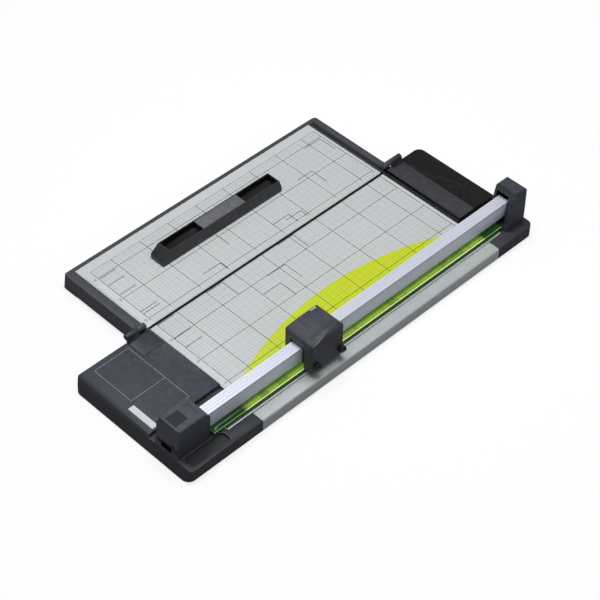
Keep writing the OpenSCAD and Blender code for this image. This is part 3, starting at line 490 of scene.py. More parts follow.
@dataclass(frozen=True)
class PrintedSheet(Finish):
    """Light grey painted sheet with a fine printed ruling and, on the main table,
    a yellow-green segment along the rail."""

    ink: Triple = (92, 98, 104)
    x0: float = 0.0
    y0: float = 0.0
    x_range: Pair = (-182.0, 0.0)
    y_range: Pair = (12.75, 422.5)
    arc_centre: Pair = (363.8, 213.0)
    arc_r: float = 0.0
    arc_rgb: Triple = (224, 240, 26)

    def wire(self, kit: SurfaceKit, g: Graph, shader: Node) -> None:
        """Adds the nodes of this kind of finish."""
        origin = place(self.x0, self.y0, 0)
        split = g.split(g.coords())
        x, y, z = (split.outputs[i] for i in range(3))
        mask: object = 0.0
        for pitch, half, weight in RULINGS:
            lines = self.group(g, kit.ruling, Pitch=pitch * MM, Half_Width=half * MM,
                               X0=origin.x, Y0=origin.y)
            mask = g.math("MAXIMUM", mask, g.times(lines.outputs[0], weight))
        top = g.ramp(z, *PLATE_TOP)
        inside = top
        low, high = (place(a, b, 0) for a, b in zip(self.x_range, self.y_range))
        for value, lo, hi in ((x, low.x, high.x), (y, low.y, high.y)):
            inside = g.times(inside, g.math("GREATER_THAN", value, lo))
            inside = g.times(inside, g.math("LESS_THAN", value, hi))
        grain = self.group(g, kit.grain, Size=0.0012, Tone=0.06)
        wear = self.group(g, kit.wear, Edge=0.25, Dust=0.05)
        colour: object = linear(self.rgb)
        if self.arc_r:
            centre = place(self.arc_centre[0], self.arc_centre[1], 0)
            dx = g.math("SUBTRACT", x, centre.x)
            dy = g.math("SUBTRACT", y, centre.y)
            away = g.math("SQRT", g.math("ADD", g.times(dx, dx), g.times(dy, dy)))
            edge = self.arc_r * MM
            lit = g.times(g.ramp(away, edge + 0.0002, edge - 0.0002), top)
            colour = g.mix(lit, colour, linear(self.arc_rgb))
        colour = g.mix(1.0, colour, g.grey(grain.outputs["Shade"]), "MULTIPLY")
        colour = g.mix(g.times(mask, inside), colour, linear(self.ink))
        colour = g.mix(wear.outputs["Dust"], colour, linear((190, 186, 178)))
        g.link(colour, shader.inputs["Base Color"])
        g.link(g.times(grain.outputs["Shade"], self.roughness), shader.inputs["Roughness"])
        self.bump(g, shader, grain.outputs["Height"], 0.08, 0.00005)


@dataclass(frozen=True)
class Tint(Finish):
    """Clear tinted plastic with darker patches, a painted rail shadow lightening toward its free
    edge, the table below painted in as show-through (pale over the plate, dark past it) and a
    painted glow."""

    mottle: float = 0.0
    # colour of the random patches, and of the painted show-through past the strip's ends
    dark: Triple = (46, 84, 44)
    painted_glow: float = 0.1
    # colour of the painted shadow of the rail, and the span where it fades across the strip
    shade: Triple = (92, 126, 58)
    painted_shadow_x: Pair = (-9.5, 1.5)
    # where the pale table below is painted in as show-through
    painted_show_through_y: Pair = (-6.0, 429.0)
    patch_scale: float = 60.0
    through: float = 0.2

    def wire(self, kit: SurfaceKit, g: Graph, shader: Node) -> None:
        """Adds the nodes of this kind of finish."""
        wear = self.group(g, kit.wear, Edge=0.2, Dust=0.06)
        grain = self.group(g, kit.grain, Size=0.01, Tone=0.3)
        rough = g.math("MULTIPLY_ADD", wear.outputs["Dust"], 0.5, self.roughness, clamp=True)
        g.link(rough, shader.inputs["Roughness"])
        where = g.coords()
        split = g.split(where)
        # painted show-through: pale over the plate, dark past its ends where the black base lies
        # below
        near, far = (place(0.0, y, 0.0).y for y in self.painted_show_through_y)
        pale = g.times(g.ramp(split.outputs["Y"], near - 0.003, near + 0.004),
                       g.ramp(split.outputs["Y"], far + 0.004, far - 0.003))
        # painted shadow of the rail: the shade colour under the rail, lighter toward the free
        # edge
        left, right = (place(x, 0.0, 0.0).x for x in self.painted_shadow_x)
        painted_shadow_fade = g.ramp(split.outputs["X"], left, right)
        colour = g.mix(painted_shadow_fade, linear(self.shade), linear(self.rgb))
        blot = g.ramp(g.noise(where, self.patch_scale, 2.0), 0.46, 0.62)
        patch = g.times(blot, self.mottle)
        colour = g.mix(patch, colour, linear(self.dark))
        colour = g.mix(pale, linear(self.dark), colour)
        tinted = g.mix(1.0, colour, g.grey(grain.outputs["Shade"]), "MULTIPLY")
        g.link(tinted, shader.inputs["Base Color"])
        g.link(tinted, shader.inputs["Emission Color"])
        # the emission is a painted glow of the clear plastic
        settle(shader, Emission_Strength=self.painted_glow, Transmission_Weight=self.through,
               IOR=1.49, Coat_Weight=0.3, Coat_Roughness=0.08)


class Palette:
    """Every finish of the trimmer, made once."""

    def __init__(self) -> None:
        """Builds the materials."""
        kit = SurfaceKit()
        plastics = (
            Moulding("base_graphite", (48, 49, 55), 0.5),
            # painted shade: the dish beside the lock housing, and the groove by the side table's
            # far bar
            Moulding("painted_shade_dark", (22, 23, 30), 0.5, edge=0.2, dust=0.0),
            Moulding("rear_cover_grey", (54, 55, 60), 0.4, Sheen.SATIN),
            Moulding("rear_cover_gloss", (7, 7, 9), 0.24, Sheen.POLISHED, dust=0.0, tone=0.04),
            Moulding("rear_lip_dark", (26, 27, 31), 0.4, Sheen.SATIN),
            Moulding("margin_green_grey", (190, 196, 198), 0.4, Sheen.SATIN, edge=0.2),
            # black parts, and the painted shade inside the post's arch
            Moulding("black_and_painted_shade", (12, 12, 13), 0.4, Sheen.SATIN, edge=0.2),
            Moulding("pad_grey", (104, 104, 112), 0.5),
            Moulding("knob_black", (24, 24, 29), 0.36, Sheen.SATIN),
            Moulding("running_black", (24, 24, 27), 0.4, Sheen.SATIN),
            Moulding("glide_white", (220, 220, 214), 0.4, Sheen.SATIN, edge=0.0),
            Moulding("rubber_black", (22, 22, 22), 0.8, edge=0.1),
            Moulding("mat_black", (46, 58, 42), 0.7, edge=0.0),
            Moulding("label_white", (232, 234, 240), 0.5, Sheen.SATIN, edge=0.0),
            *(Moulding(name, rgb, 0.46) for name, rgb in (
                ("cover_bluegrey", (62, 65, 76)), ("housing_blue_black", (65, 69, 82)),
                ("post_blue_black", (57, 60, 72)), ("leaf_bluegrey", (52, 55, 65)),
                ("frame_graphite", (70, 72, 79)), ("guide_black", (45, 46, 51)),
                ("head_black", (61, 64, 74)))),
            *(Moulding(name, rgb, rough, Sheen.SATIN, edge=0.0, dust=0.0)
              for name, rgb, rough in (
                  ("print_grey", (196, 199, 208), 0.6), ("plate_dark", (24, 26, 36), 0.4),
                  ("ink_dark", (50, 54, 60), 0.6), ("ink_black", (40, 42, 48), 0.6))),
        )
        metals = (
            Metal("rail_anodised", (232, 237, 250), 0.4, lines=0.35, metallic=0.15),
            Metal("channel_alloy", (208, 220, 210), 0.34, metallic=0.2),
            Metal("pin_steel", (180, 180, 184), 0.3),
            Metal("disc_steel", (205, 206, 210), 0.16, lines=0.08),
            Metal("spring_steel", (150, 150, 154), 0.3),
            Metal("magnet_nickel", (190, 190, 194), 0.2),
        )
        sheets = (
            PrintedSheet("main_sheet", (222, 226, 227), 0.42, x0=0.0, y0=47.0, arc_r=445.8),
            PrintedSheet("side_sheet", (222, 226, 227), 0.42, x0=1.5, y0=48.6,
                         x_range=(-314.0, -187.0), y_range=(13.5, 423.5)),
        )
        tints = (
            # painted rail shadow, painted show-through of the table below and a painted glow
            Tint("strip_green", (190, 230, 92), 0.12, mottle=0.35, painted_glow=0.2, through=0.1),
            # a lighter copy for the strip's right-facing edge: painted highlight and glow
            Tint("strip_edge_painted_glow", (232, 252, 190), 0.25, dark=(120, 170, 96), painted_glow=0.5, through=0.0),
        )
        self.made = {f.name: f.build(kit) for f in (*plastics, *metals, *sheets, *tints)}

    def __getitem__(self, name: str) -> bpy.types.Material:
        """The material of that name."""
        return self.made[name]


# ---------------------------------------------------------------- mesh tools


class Workshop:
    def __init__(self, palette: Palette) -> None:
        """Keeps the palette and an empty list of pieces."""
        self.palette = palette
        self.done: list[str] = []

    def finish(self, obj: Object, body: Body,
               replaced: tuple[str, ...] = ()) -> Object:
        """Args:
            obj: the piece, at the origin.
            body: the body it rides on.
            replaced: CAD nodes it stands for.

        Returns:
            The piece.
        """
        if replaced:
            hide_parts(*replaced)
        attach(obj, body.value)
        self.done.append(obj.name)
        log.info("piece %s on %s", obj.name, body.value)
        return obj

    def mesh(self, name: str, bm: bmesh.types.BMesh, *materials: str) -> Object:
        """Turns a bmesh into an object.

        Args:
            name: the object's name.
            bm: the bmesh, which is freed.
            materials: names of its materials.

        Returns:
            The object.
        """
        data = bpy.data.meshes.new(name)
        bm.to_mesh(data)
        bm.free()
        for material in materials:
            data.materials.append(self.palette[material])
        return linked(name, data)

    def dress(self, node: str, body: Body, materials: tuple[str, ...],
              bevel: float = 0.4, segments: int = 2, angle: float = 28.0,
              paint: Callable[[Vector, Vector], int] | None = None, soft: bool = False,
              shape: Callable[[Vector], Vector] | None = None) -> Object:
        """A finer copy of a CAD node, with its doubles merged and its edges rounded.

        Args:
            node: the CAD node.
            body: the body it rides on.
            materials: names of its materials.
            bevel: width of the rounding in millimetres.
            segments: steps of the rounding.
            angle: edges sharper than this are rounded.
            paint: gives a face's material index from its centre and normal.
            soft: shades chamfers as rounded edges.
            shape: moves a point given in millimetres in the drawing frame.

        Returns:
            The piece that replaces the node.
        """
        bm = bmesh.new()
        bm.from_mesh(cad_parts[node].data)
        bmesh.ops.remove_doubles(bm, verts=bm.verts, dist=MERGE_DISTANCE)
        bmesh.ops.dissolve_limit(bm, angle_limit=math.radians(FLAT_ANGLE), verts=bm.verts,
                                 edges=bm.edges)
        if shape:
            for vert in bm.verts:
                vert.co = (shape(vert.co / MM - SHIFT) + SHIFT) * MM
            bm.normal_update()
        for face in bm.faces:
            face.smooth = True
            if paint:
                centre = face.calc_center_median() / MM - SHIFT
                face.material_index = paint(centre, face.normal)
        if soft:
            for edge in bm.edges:
                edge.smooth = edge.calc_face_angle(0.0) < math.radians(SHARP_ANGLE)
        obj = self.mesh(f"{node}_dressed", bm, *materials)
        if bevel:
            mod = obj.modifiers.new("rounding", "BEVEL")
            mod.width = bevel * MM
            mod.segments = segments
            mod.limit_method = "ANGLE"
            mod.angle_limit = math.radians(angle)
            mod.use_clamp_overlap = True
            mod.harden_normals = not soft
        if soft:
            even = obj.modifiers.new("even_normals", "WEIGHTED_NORMAL")
            even.mode = "FACE_AREA"
            even.weight = 50
            even.keep_sharp = True
        return self.finish(obj, body, (node,))

    def plain(self, body: Body, *rows: tuple[str, str, str, float]) -> None:
        """Dresses nodes of one material each.

        Args:
            body: the body they ride on.
            rows: node, slot, material and width of the rounding of each.
        """
        for node, slot, material, bevel in rows:
            self.dress(node, body, (material,), bevel)

    def keep(self, node: str, material: str) -> None:
        """Gives a CAD node that stays its finish."""
        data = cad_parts[node].data
        data.materials.clear()
        data.materials.append(self.palette[material])
        log.info("node %s keeps its shape", node)

    def boxes(self, name: str, spans: list[tuple[float, ...]], body: Body,
              material: str) -> Object:
        """One piece of several thin boxes.

        Args:
            name: the piece's name.
            spans: x0, x1, y0, y1, z0, z1 of each box in millimetres.
            body: the body it rides on.
            material: its material.

        Returns:
            The piece.
        """
        bm = bmesh.new()
        for x0, x1, y0, y1, z0, z1 in spans:
            lo, hi = place(x0, y0, z0), place(x1, y1, z1)
            made = bmesh.ops.create_cube(bm, size=1.0)
            bmesh.ops.scale(bm, vec=hi - lo, verts=made["verts"])
            bmesh.ops.translate(bm, vec=(lo + hi) / 2, verts=made["verts"])
        return self.finish(self.mesh(name, bm, material), body)

    def grow(self, name: str, tree: Tree, values: dict[str, object],
             body: Body, slot: str) -> Object:
        """Runs a Geometry Nodes tree and keeps its result as a plain mesh.

        Args:
            name: the piece's name.
            tree: the tree.
            values: its inputs by name.
            body: the body it rides on.
            slot: not used.

        Returns:
            The piece.
        """
        seed = linked(f"{name}_seed", bpy.data.meshes.new(f"{name}_seed"))
        mod = seed.modifiers.new("grow", "NODES")
        mod.node_group = tree
        for item in tree.interface.items_tree:
            if item.in_out == "INPUT" and item.name in values:
                mod[item.identifier] = values[item.name]
        depsgraph = bpy.context.evaluated_depsgraph_get()
        data = bpy.data.meshes.new_from_object(seed.evaluated_get(depsgraph))
        data.name = name
        seed.modifiers.remove(mod)
        bpy.data.objects.remove(seed)
        return self.finish(linked(name, data), body)


def ruled_row_tree() -> Tree:
    """A row of equal thin bars at an even pitch.

    Returns:
        A tree with inputs Start, Step, Count, Bar Size and Material.
    """
    tree = bpy.data.node_groups.new("ruled_row", "GeometryNodeTree")
    kinds = (("Start", "NodeSocketVector"), ("Step", "NodeSocketVector"),
             ("Count", "NodeSocketInt"), ("Bar Size", "NodeSocketVector"),
             ("Material", "NodeSocketMaterial"))
    for way in ("OUTPUT", "INPUT"):
        tree.interface.new_socket("Geometry", in_out=way, socket_type="NodeSocketGeometry")
    for name, kind in kinds:
        tree.interface.new_socket(name, in_out="INPUT", socket_type=kind)
    g = Graph(tree)
    gin, out = g.add("NodeGroupInput"), g.add("NodeGroupOutput")
    row = g.add("GeometryNodeMeshLine", mode="OFFSET")
    for key, into in (("Count", "Count"), ("Start", "Start Location"), ("Step", "Offset")):
        g.link(gin.outputs[key], row.inputs[into])
    bar = g.add("GeometryNodeMeshCube")
    g.link(gin.outputs["Bar Size"], bar.inputs["Size"])
    spread = g.add("GeometryNodeInstanceOnPoints")
    g.link(row.outputs[0], spread.inputs["Points"])
    g.link(bar.outputs[0], spread.inputs["Instance"])
    real = g.add("GeometryNodeRealizeInstances")
    g.link(spread.outputs[0], real.inputs[0])
    paint = g.add("GeometryNodeSetMaterial")
    g.link(real.outputs[0], paint.inputs["Geometry"])
    g.link(gin.outputs["Material"], paint.inputs["Material"])
    g.link(paint.outputs[0], out.inputs[0])
    return tree


# ---------------------------------------------------------------- sub-assemblies


@dataclass
class TablePrint:
    """The printed lines of one table: bold squares, a border, marks and a ruler."""

    name: str
    body: Body
    bold_x: tuple[float, ...]
    bold_y0: float
    bold_count: int
    x_span: Pair
    y_span: Pair
    marks: tuple[tuple[float, float, float, float], ...]
    ruler_y: float
    numbers: tuple[tuple[str, float, float], ...]
    bold: float = 0.75
    mark: float = 0.9
    tick: float = 0.18
    figure: float = 5.2
    figure_depth: float = 0.03

    def build(self, shop: Workshop, row: Tree) -> None:
        """Makes the print.

        Args:
            shop: the workshop.
            row: the tree that makes rows of bars.
        """
        thick = (PRINT_TOP - PRINT_Z) * MM
        mid_z = (PRINT_TOP + PRINT_Z) / 2
        x0, x1 = self.x_span
        y0, y1 = self.y_span
        ink = shop.palette["ink_dark"]
        shop.grow(f"{self.name}_cross_lines", row, {
            "Start": place((x0 + x1) / 2, self.bold_y0, mid_z),
            "Step": Vector((0, BOLD_PITCH * MM, 0)),
            "Count": self.bold_count, "Bar Size": Vector(((x1 - x0) * MM, self.bold * MM, thick)),
            "Material": ink}, self.body, "grid_sheet")
        step = self.bold_x[1] - self.bold_x[0]
        shop.grow(f"{self.name}_length_lines", row, {
            "Start": place(self.bold_x[0], (y0 + y1) / 2, mid_z),
            "Step": Vector((step * MM, 0, 0)), "Count": len(self.bold_x),
            "Bar Size": Vector((self.bold * MM, (y1 - y0) * MM, thick)),
            "Material": ink}, self.body, "grid_sheet")
        for label, pitch, length in TICKS:
            count = int((x1 - x0) // pitch)
            shop.grow(f"{self.name}_ticks_{label}", row, {
                "Start": place(x1 - (x1 % pitch) - pitch * count + pitch,
                               self.ruler_y + length / 2, mid_z),
                "Step": Vector((pitch * MM, 0, 0)), "Count": count - 1,
                "Bar Size": Vector((self.tick * MM, length * MM, thick)),
                "Material": ink}, self.body, "grid_sheet")
        half = self.bold / 2
        frame_lines = [(x0, x1, y - half, y + half) for y in (y0, y1)]
        frame_lines.append((x0 - half, x0, y0, y1))
        spans = [(*s, PRINT_Z, PRINT_TOP) for s in frame_lines]
        shop.boxes(f"{self.name}_border", spans, self.body, "ink_dark")
        half = self.mark / 2
        spans = []
        for ax, ay, bx, by in self.marks:
            grow_x = half if ax == bx else 0.0
            grow_y = half if ay == by else 0.0
            spans.append((min(ax, bx) - grow_x, max(ax, bx) + grow_x, min(ay, by) - grow_y,
                          max(ay, by) + grow_y, PRINT_Z, PRINT_TOP + 0.01))
        shop.boxes(f"{self.name}_size_marks", spans, self.body, "ink_black")
        self._numbers(shop)

    def _numbers(self, shop: Workshop) -> None:
        """Plain ruler numbers beside the bold lines."""
        bm = bmesh.new()
        for text, x, y in self.numbers:
            curve = bpy.data.curves.new("number", "FONT")
            curve.body = text
            curve.size = self.figure * MM
            curve.align_x = "CENTER"
            curve.align_y = "CENTER"
            curve.extrude = self.figure_depth * MM
            obj = linked("number", curve)
            data = obj.to_mesh()
            where = place(x, y, 0.0)
            start = len(bm.verts)
            bm.from_mesh(data)
            bm.verts.ensure_lookup_table()
            bmesh.ops.translate(bm, vec=where, verts=bm.verts[start:])
            obj.to_mesh_clear()
            bpy.data.objects.remove(obj)
            bpy.data.curves.remove(curve)
        shop.finish(shop.mesh(f"{self.name}_numbers", bm, "ink_black"), self.body)


@dataclass
class BaseUnit:
    """The base with its tray, covers, plate, channel, housing and post."""

    band_end_y: float = 463.3
    lip_z: float = 1.6
    label: Rect = (-98.5, -54.0, -108.0, -99.0)
    panel: Rect = (-175.0, -62.0, -97.0, -41.0)
    panel_step: float = 44.0
    panel_line: float = 0.35
    dish: Rect = (-1.0, 24.0, -124.0, -55.0)
    dish_z: Pair = (-12.0, -3.1)
    window: Rect = (-30.3, -7.4, -114.9, -110.0)
    window_foot_z: float = -0.8
    floor_z: Pair = (-1.0, 0.5)
    rim: Rect = (-39.2, -0.8, -114.1, -62.8)
    rim_z: float = 10.0
    arch_x: Pair = (-21.3, 4.3)
    arch_y: Pair = (464.5, 490.0)
    arch_z: Pair = (-0.1, 45.1)
    post_foot_y: float = 464.0
    post_lean: float = 16.0 / 54.5
    cover_z: float = 3.0

    def build(self, shop: Workshop) -> None:
        """Dresses the base."""
        base = Body.BASE
        # the dish beside the lock housing gets painted shade where the housing's shadow falls
        shop.dress("base_tray", base, ("base_graphite", "painted_shade_dark"),
                   0.9, 3, 28, self._in_dish)
        shop.dress("near_cover", base, ("cover_bluegrey",), 0.8, 3, 20)
        shop.dress("far_cover", base,
                   ("rear_cover_grey", "rear_cover_gloss", "rear_lip_dark"), 0.5, 3, 12,
                   self._rear_part)
        shop.plain(base,
                   ("main_plate", "grid_sheet", "main_sheet", 0.15),
                   ("mat_channel", "channel_alloy", "channel_alloy", 0.15),
                   ("cutting_mat", "mat_rubber", "mat_black", 0.2),
                   ("edge_cover", "margin_plastic", "margin_green_grey", 0.3))
        shop.dress("lock_housing", base,
                   ("housing_blue_black", "black_and_painted_shade"), 0.6, 3, 28, self._in_window,
                   shape=self._inset)
        # the walls inside the arch get painted shade, the dark gap over the rail
        shop.dress("rail_post", base,
                   ("post_blue_black", "black_and_painted_shade"), 0.8, 3, 50, self._in_arch, soft=True,
                   shape=self._lean)
        shop.dress("near_hinge_leaf", base, ("leaf_bluegrey",), 0.5, 3)
        shop.dress("far_hinge_leaf", base, ("base_graphite",), 0.5, 3)
        shop.dress("base_feet", base, ("rubber_black",), 0.4)
        for node in ("rail_pivot_pin", "hinge_pins", "base_screws"):
            shop.keep(node, "pin_steel")
        self._panel(shop)

    def _in_dish(self, centre: Vector, normal: Vector) -> int:
        """1 on what faces up in the dish by the lock, which gets painted shade."""
        low, high = self.dish_z
        return int(over(centre, self.dish) and low < centre.z < high and normal.z > 0.1)

    def _rear_part(self, centre: Vector, normal: Vector) -> int:
        """2 on the far cover's lip, 1 on its glossy part and 0 on its band."""
        if centre.z < self.lip_z:
            return 2
        return int(centre.y > self.band_end_y or normal.z < 0.5)

    def _in_window(self, centre: Vector, normal: Vector) -> int:
        """1 inside the lock's window and on the housing's floor."""
        low, high = self.floor_z
        window = over(centre, self.window) and centre.z > self.window_foot_z
        return int(window or normal.z > 0.5 and low < centre.z < high)

    def _in_arch(self, centre: Vector, normal: Vector) -> int:
        """1 on the walls inside the post's arch, which get painted shade."""
        inside = (self.arch_x[0] < centre.x < self.arch_x[1] and centre.y > self.arch_y[0]
                  and self.arch_z[0] < centre.z < self.arch_z[1])
        wall = abs(normal.x) > 0.7 or normal.z < -0.7 or centre.y > self.arch_y[1]
        return int(inside and wall)

    def _inset(self, at: Vector) -> Vector:
        """Draws the top rim of the housing in, so that the cap's lower edge shows."""
        if at.z > self.rim_z:
            x0, x1, y0, y1 = self.rim
            at.x = min(max(at.x, x0), x1)
            at.y = min(max(at.y, y0), y1)
        return at

    def _lean(self, at: Vector) -> Vector:
        """Lets the front of the post lean back above the table."""
        at.y = max(at.y, self.post_foot_y + self.post_lean * max(0.0, at.z))
        return at

    def _panel(self, shop: Workshop) -> None:
        """The blank label and the plain frame lines on the near cover."""
        z0, z1 = self.cover_z - 0.03, self.cover_z + 0.05
        x0, x1, y0, y1 = self.label
        shop.boxes("near_cover_label", [(x0, x1, y0, y1, z0, z1)], Body.BASE,
                   "label_white")
        x0, x1, y0, y1 = self.panel
        line, step = self.panel_line, x1 - self.panel_step
        spans = [
            (x0, x1, y1 - line, y1, z0, z1), (x0, step, y0, y0 + line, z0, z1),
            (x0, x0 + line, y0, y1, z0, z1), (step, step + line, y0, y1, z0, z1),
            (x1 - line, x1, y0, y1, z0, z1),
        ]
        shop.boxes("near_cover_frame", spans, Body.BASE, "print_grey")


@dataclass
class SideTable:
    """The folding table with its frame, plate, knuckles and feet."""

    levels: Pair = (-17.0, -1.0)
    corner: Pair = (-331.4, -10.0)
    corner_r: float = 7.0
    draft: Pair = (2.6, 3.2)
    groove: Rect = (-327.0, -189.0, 430.0, 436.8)
    bar_top: float = 1.0

    def _tapered(self, at: Vector) -> Vector:
        """Leans the left and near walls of the frame in toward their top."""
        low, high = self.levels
        rise = min(1.0, max(0.0, (at.z - low) / (high - low)))
        out_x = min(1.0, max(0.0, (self.corner[0] - at.x) / self.corner_r))
        out_y = min(1.0, max(0.0, (self.corner[1] - at.y) / self.corner_r))
        return at + Vector((self.draft[0] * rise * out_x, self.draft[1] * rise * out_y, 0.0))

    def build(self, shop: Workshop) -> None:
        """Dresses the folding table."""
        side = Body.SIDE
        shop.dress("fold_frame", side, ("frame_graphite",), 0.9, 3,
                   shape=self._tapered)
        # painted shade: a thin dark strip over the far bar stands for the shade in its groove
        x0, x1, y0, y1 = self.groove
        shop.boxes("far_bar_painted_groove_shade", [(x0, x1, y0, y1, self.bar_top - 0.2, self.bar_top + 0.03)],
                   side, "painted_shade_dark")
        shop.dress("fold_plate", side, ("side_sheet",), 0.15)
        shop.dress("fold_knuckles", side, ("frame_graphite",), 0.6, 3)
        shop.dress("fold_feet", side, ("rubber_black",), 0.3)


@dataclass
class PaperGuide:
    """The guide bar with its wells and middle pad."""

    middle_x: float = -270.0
    spread: Pair = (-2.0, 2.4)
    sole_z: float = 3.0
    rise: float = 10.0
    wells: Rect = (-279.3, -258.9, 103.5, 301.0)
    wells_z: Pair = (7.0, 17.0)

    def _wide(self, at: Vector) -> Vector:
        """Widens the top of the guide to both sides of its middle."""
        if at.x < self.middle_x:
            at.x += self.spread[0]
        elif at.z > self.sole_z:
            at.x += self.spread[1] * min(1.0, (at.z - self.sole_z) / self.rise)
        return at

    def _in_well(self, centre: Vector, _normal: Vector) -> int:
        """1 on the faces inside the two wells."""
        low, high = self.wells_z
        return int(over(centre, self.wells) and low < centre.z < high)

    def build(self, shop: Workshop) -> None:
        """Dresses the guide."""
        guide = Body.GUIDE
        shop.dress("guide_body", guide, ("guide_black", "black_and_painted_shade"),
                   0.6, 3, 20, self._in_well, shape=self._wide)
        shop.dress("guide_pad", guide, ("pad_grey",), 0.2, shape=self._wide)
        shop.keep("guide_magnets", "magnet_nickel")


@dataclass
class RailBeam:
    """The rail with its cap, pivot block and clear strip."""

    strip_edge_x: float = 2.2
    plate: Rect = (-29.1, -9.9, -108.1, -88.1)
    cap_z: float = 42.5

    def build(self, shop: Workshop) -> None:
        """Dresses the rail."""
        rail = Body.RAIL
        shop.dress("rail", rail, ("rail_anodised",), 0.25)
        shop.dress("rail_cap", rail, ("housing_blue_black",), 0.7, 3, 36,
                   soft=True)
        # the strip's right-facing edge gets a lighter copy of its plastic with more emission, a
        # painted highlight and glow
        shop.dress("clamp_strip", rail, ("strip_green", "strip_edge_painted_glow"), 0.15, 1,
                   28, lambda c, n: int(n.x > 0.9 and c.x > self.strip_edge_x))
        shop.keep("rail_end_block", "running_black")
        x0, x1, y0, y1 = self.plate
        shop.boxes("cap_plate", [(x0, x1, y0, y1, self.cap_z - 0.1, self.cap_z + 0.06)], rail,
                   "plate_dark")


@dataclass
class CuttingHead:
    """The runner, the head with its disc, and the thumb screws."""

    mark_y: Pair = (130.5, 140.5)
    mark_x: Pair = (-27.7, -25.1)
    slope_foot: Pair = (-30.0, 54.8)
    slope: float = 0.64
    lifts: Pair = (-0.1, 0.05)

    def build(self, shop: Workshop) -> None:
        """Dresses the runner, head, disc and screws."""
        shop.dress("lock_slider", Body.LOCK, ("black_and_painted_shade",), 0.3)
        shop.dress("carriage", Body.RUNNER, ("running_black",), 0.3)
        shop.keep("glide_pads", "glide_white")
        shop.keep("press_springs", "spring_steel")
        head = Body.HEAD
        for node in ("head_shell", "head_side_cover"):
            shop.dress(node, head, ("head_black",), 0.6, 3, 50, soft=True)
        shop.dress("blade_holder", head, ("running_black",), 0.3)
        shop.keep("blade_axle", "pin_steel")
        shop.plain(Body.DISC, ("cutting_disc", "disc_steel", "disc_steel", 0.0),
                   ("disc_hub", "guide_plastic", "running_black", 0.15))
        for side, body in (("near", Body.NEAR_KNOB), ("far", Body.FAR_KNOB)):
            shop.plain(body, (f"{side}_thumb_screw", "knob_plastic", "knob_black", 0.3))
        self._mark(shop)

    def _mark(self, shop: Workshop) -> None:
        """The pale index mark on the slope left of the head's top."""
        bm = bmesh.new()
        foot_x, foot_z = self.slope_foot
        levels = []
        for lift in self.lifts:
            corners = []
            for x, y in ((0, 0), (1, 0), (1, 1), (0, 1)):
                at = self.mark_x[x]
                up = foot_z + (at - foot_x) * self.slope + lift
                corners.append(bm.verts.new(place(at, self.mark_y[y], up)))
            levels.append(corners)
        low, high = levels
        bm.faces.new(reversed(low))
        bm.faces.new(high)
        for i in range(4):
            j = (i + 1) % 4
            bm.faces.new((low[i], low[j], high[j], high[i]))
        shop.finish(shop.mesh("head_mark", bm, "label_white"), Body.HEAD)


# ---------------------------------------------------------------- studio


@dataclass(frozen=True)
class Studio:
    """The floor, the lights and the camera."""

    location: Triple = (1.26547, -1.22250, 1.73933)
    turn: Triple = (44.7101, -0.6140, 45.4169)
    lens: float = 112.723
    world_level: float = 0.22
    floor_rgb: Triple = (152, 152, 152)
    floor_level: float = 0.74
    floor_z: float = -0.0002
    lamps: tuple[tuple[str, float, float, Triple], ...] = (
        ("key", 38.0, 1.4, (-0.05, 0.1, 2.4)),
        ("fill", 2.0, 1.0, (2.2, 0.2, 1.3)),
    )

    def build(self) -> None:
        """Makes the floor, the world, the lamps and the camera."""
        self._floor()
        self._world()
        for name, power, size, where in self.lamps:
            lamp = bpy.data.lights.new(name, "AREA")
            lamp.energy = power
            lamp.size = size
            obj = linked(name, lamp)
            obj.location = where
            obj.rotation_euler = (-Vector(where)).to_track_quat("-Z", "Y").to_euler()
        data = bpy.data.cameras.new("photo_camera")
        data.lens = self.lens
        data.sensor_width = 36.0
        data.clip_end = 50.0
        camera = linked("photo_camera", data)
        camera.location = self.location
        camera.rotation_euler = Euler([math.radians(a) for a in self.turn], "XYZ")
        bpy.context.scene.camera = camera
        bpy.context.scene.view_settings.view_transform = "Standard"

    def _floor(self) -> None:
        """A pale floor that keeps the shadow and is white to the camera."""
        bm = bmesh.new()
        bmesh.ops.create_grid(bm, x_segments=1, y_segments=1, size=6.0)
        data = bpy.data.meshes.new("floor")
        bm.to_mesh(data)
        bm.free()
        obj = linked("floor", data)
        obj.location.z = self.floor_z
        mat = bpy.data.materials.new("floor_white")
        mat.use_nodes = True
        g = Graph(mat.node_tree)
        shader = mat.node_tree.nodes["Principled BSDF"]
        settle(shader, Base_Color=linear(self.floor_rgb), Roughness=0.9,
               Specular_IOR_Level=0.1, Emission_Color=(1, 1, 1, 1))
        g.link(g.times(g.seen(), self.floor_level), shader.inputs["Emission Strength"])
        data.materials.append(mat)

    def _world(self) -> None:
        """Even light, and white where the camera sees past the floor."""
        world = bpy.data.worlds.new("studio")
        world.use_nodes = True
        bpy.context.scene.world = world
        g = Graph(world.node_tree)
        back = world.node_tree.nodes["Background"]
        settle(back, Color=(1, 1, 1, 1))
        level = g.add("ShaderNodeMapRange")
        g.link(g.seen(), level.inputs["Value"])
        settle(level, To_Min=self.world_level, To_Max=1.0)
        g.link(level.outputs[0], back.inputs["Strength"])


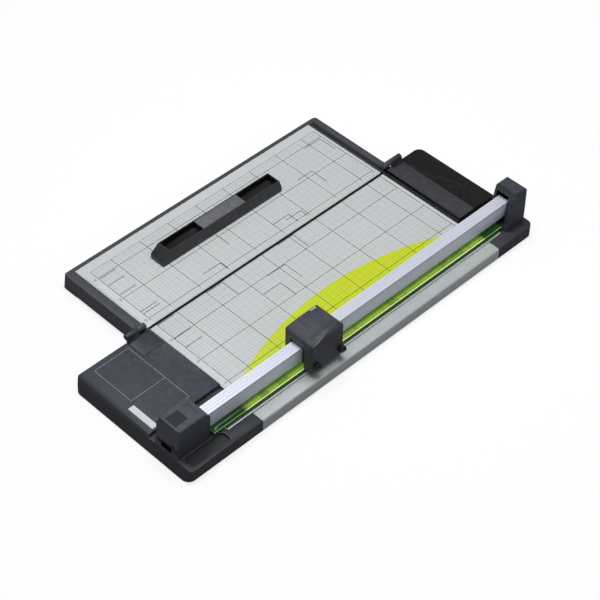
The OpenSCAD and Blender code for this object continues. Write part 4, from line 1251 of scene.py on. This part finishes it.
def main() -> None:
    """Builds the studio and every sub-assembly."""
    logging.basicConfig(level=logging.INFO, format="%(message)s")
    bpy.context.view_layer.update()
    shop = Workshop(Palette())
    row = ruled_row_tree()
    BaseUnit().build(shop)
    SideTable().build(shop)
    PaperGuide().build(shop)
    RailBeam().build(shop)
    CuttingHead().build(shop)
    TablePrint(
        "main_print", Body.BASE, (-150.2, -100.1, -50.0), 47.0, 8, (-182.3, -19.0),
        (12.75, 422.5),
        (
            (-182.0, 253.75, -151.5, 253.75), (-182.0, 225.0, -182.0, 253.75),
            (-149.0, 207.0, -117.0, 207.0), (-148.8, 175.75, -148.8, 207.0),
            (-128.0, 178.75, -99.0, 178.75), (-128.0, 148.25, -128.0, 178.75),
            (-182.0, 125.0, -151.0, 125.0), (-181.5, 97.0, -181.5, 125.0),
            (-148.8, 12.75, -148.8, 40.75), (-128.0, 12.75, -128.0, 40.75),
            (-181.5, 12.75, -181.5, 40.75),
        ),
        1.0, (("15", -150.2, 8.5), ("10", -100.1, 8.5), ("5", -50.0, 8.5)),
    ).build(shop, row)
    TablePrint(
        "side_print", Body.SIDE, (-298.6, -248.5, -198.4), 48.6, 8, (-314.0, -194.0),
        (13.5, 423.5),
        (
            (-296.5, 419.0, -266.5, 419.0), (-296.0, 388.5, -296.0, 419.0),
            (-255.0, 362.25, -226.5, 362.25), (-255.2, 334.75, -255.2, 362.25),
            (-208.3, 294.75, -195.2, 294.75), (-208.5, 266.0, -208.5, 294.75),
            (-214.0, 277.5, -196.5, 277.5), (-214.4, 248.5, -214.4, 277.5),
            (-254.0, 180.5, -227.75, 180.5),
            (-209.6, 147.75, -194.0, 147.75), (-209.5, 117.25, -209.5, 147.75),
            (-296.2, 13.5, -296.2, 41.5), (-279.0, 13.5, -279.0, 41.5),
            (-255.75, 13.5, -255.75, 41.5), (-214.5, 13.5, -214.5, 41.5),
            (-209.0, 13.5, -209.0, 41.5),
        ),
        1.0, (("30", -298.6, 8.5), ("25", -248.5, 8.5), ("20", -198.4, 8.5)),
    ).build(shop, row)
    Studio().build()
    log.info("%d pieces", len(shop.done))


if __name__ == "__main__":
    main()
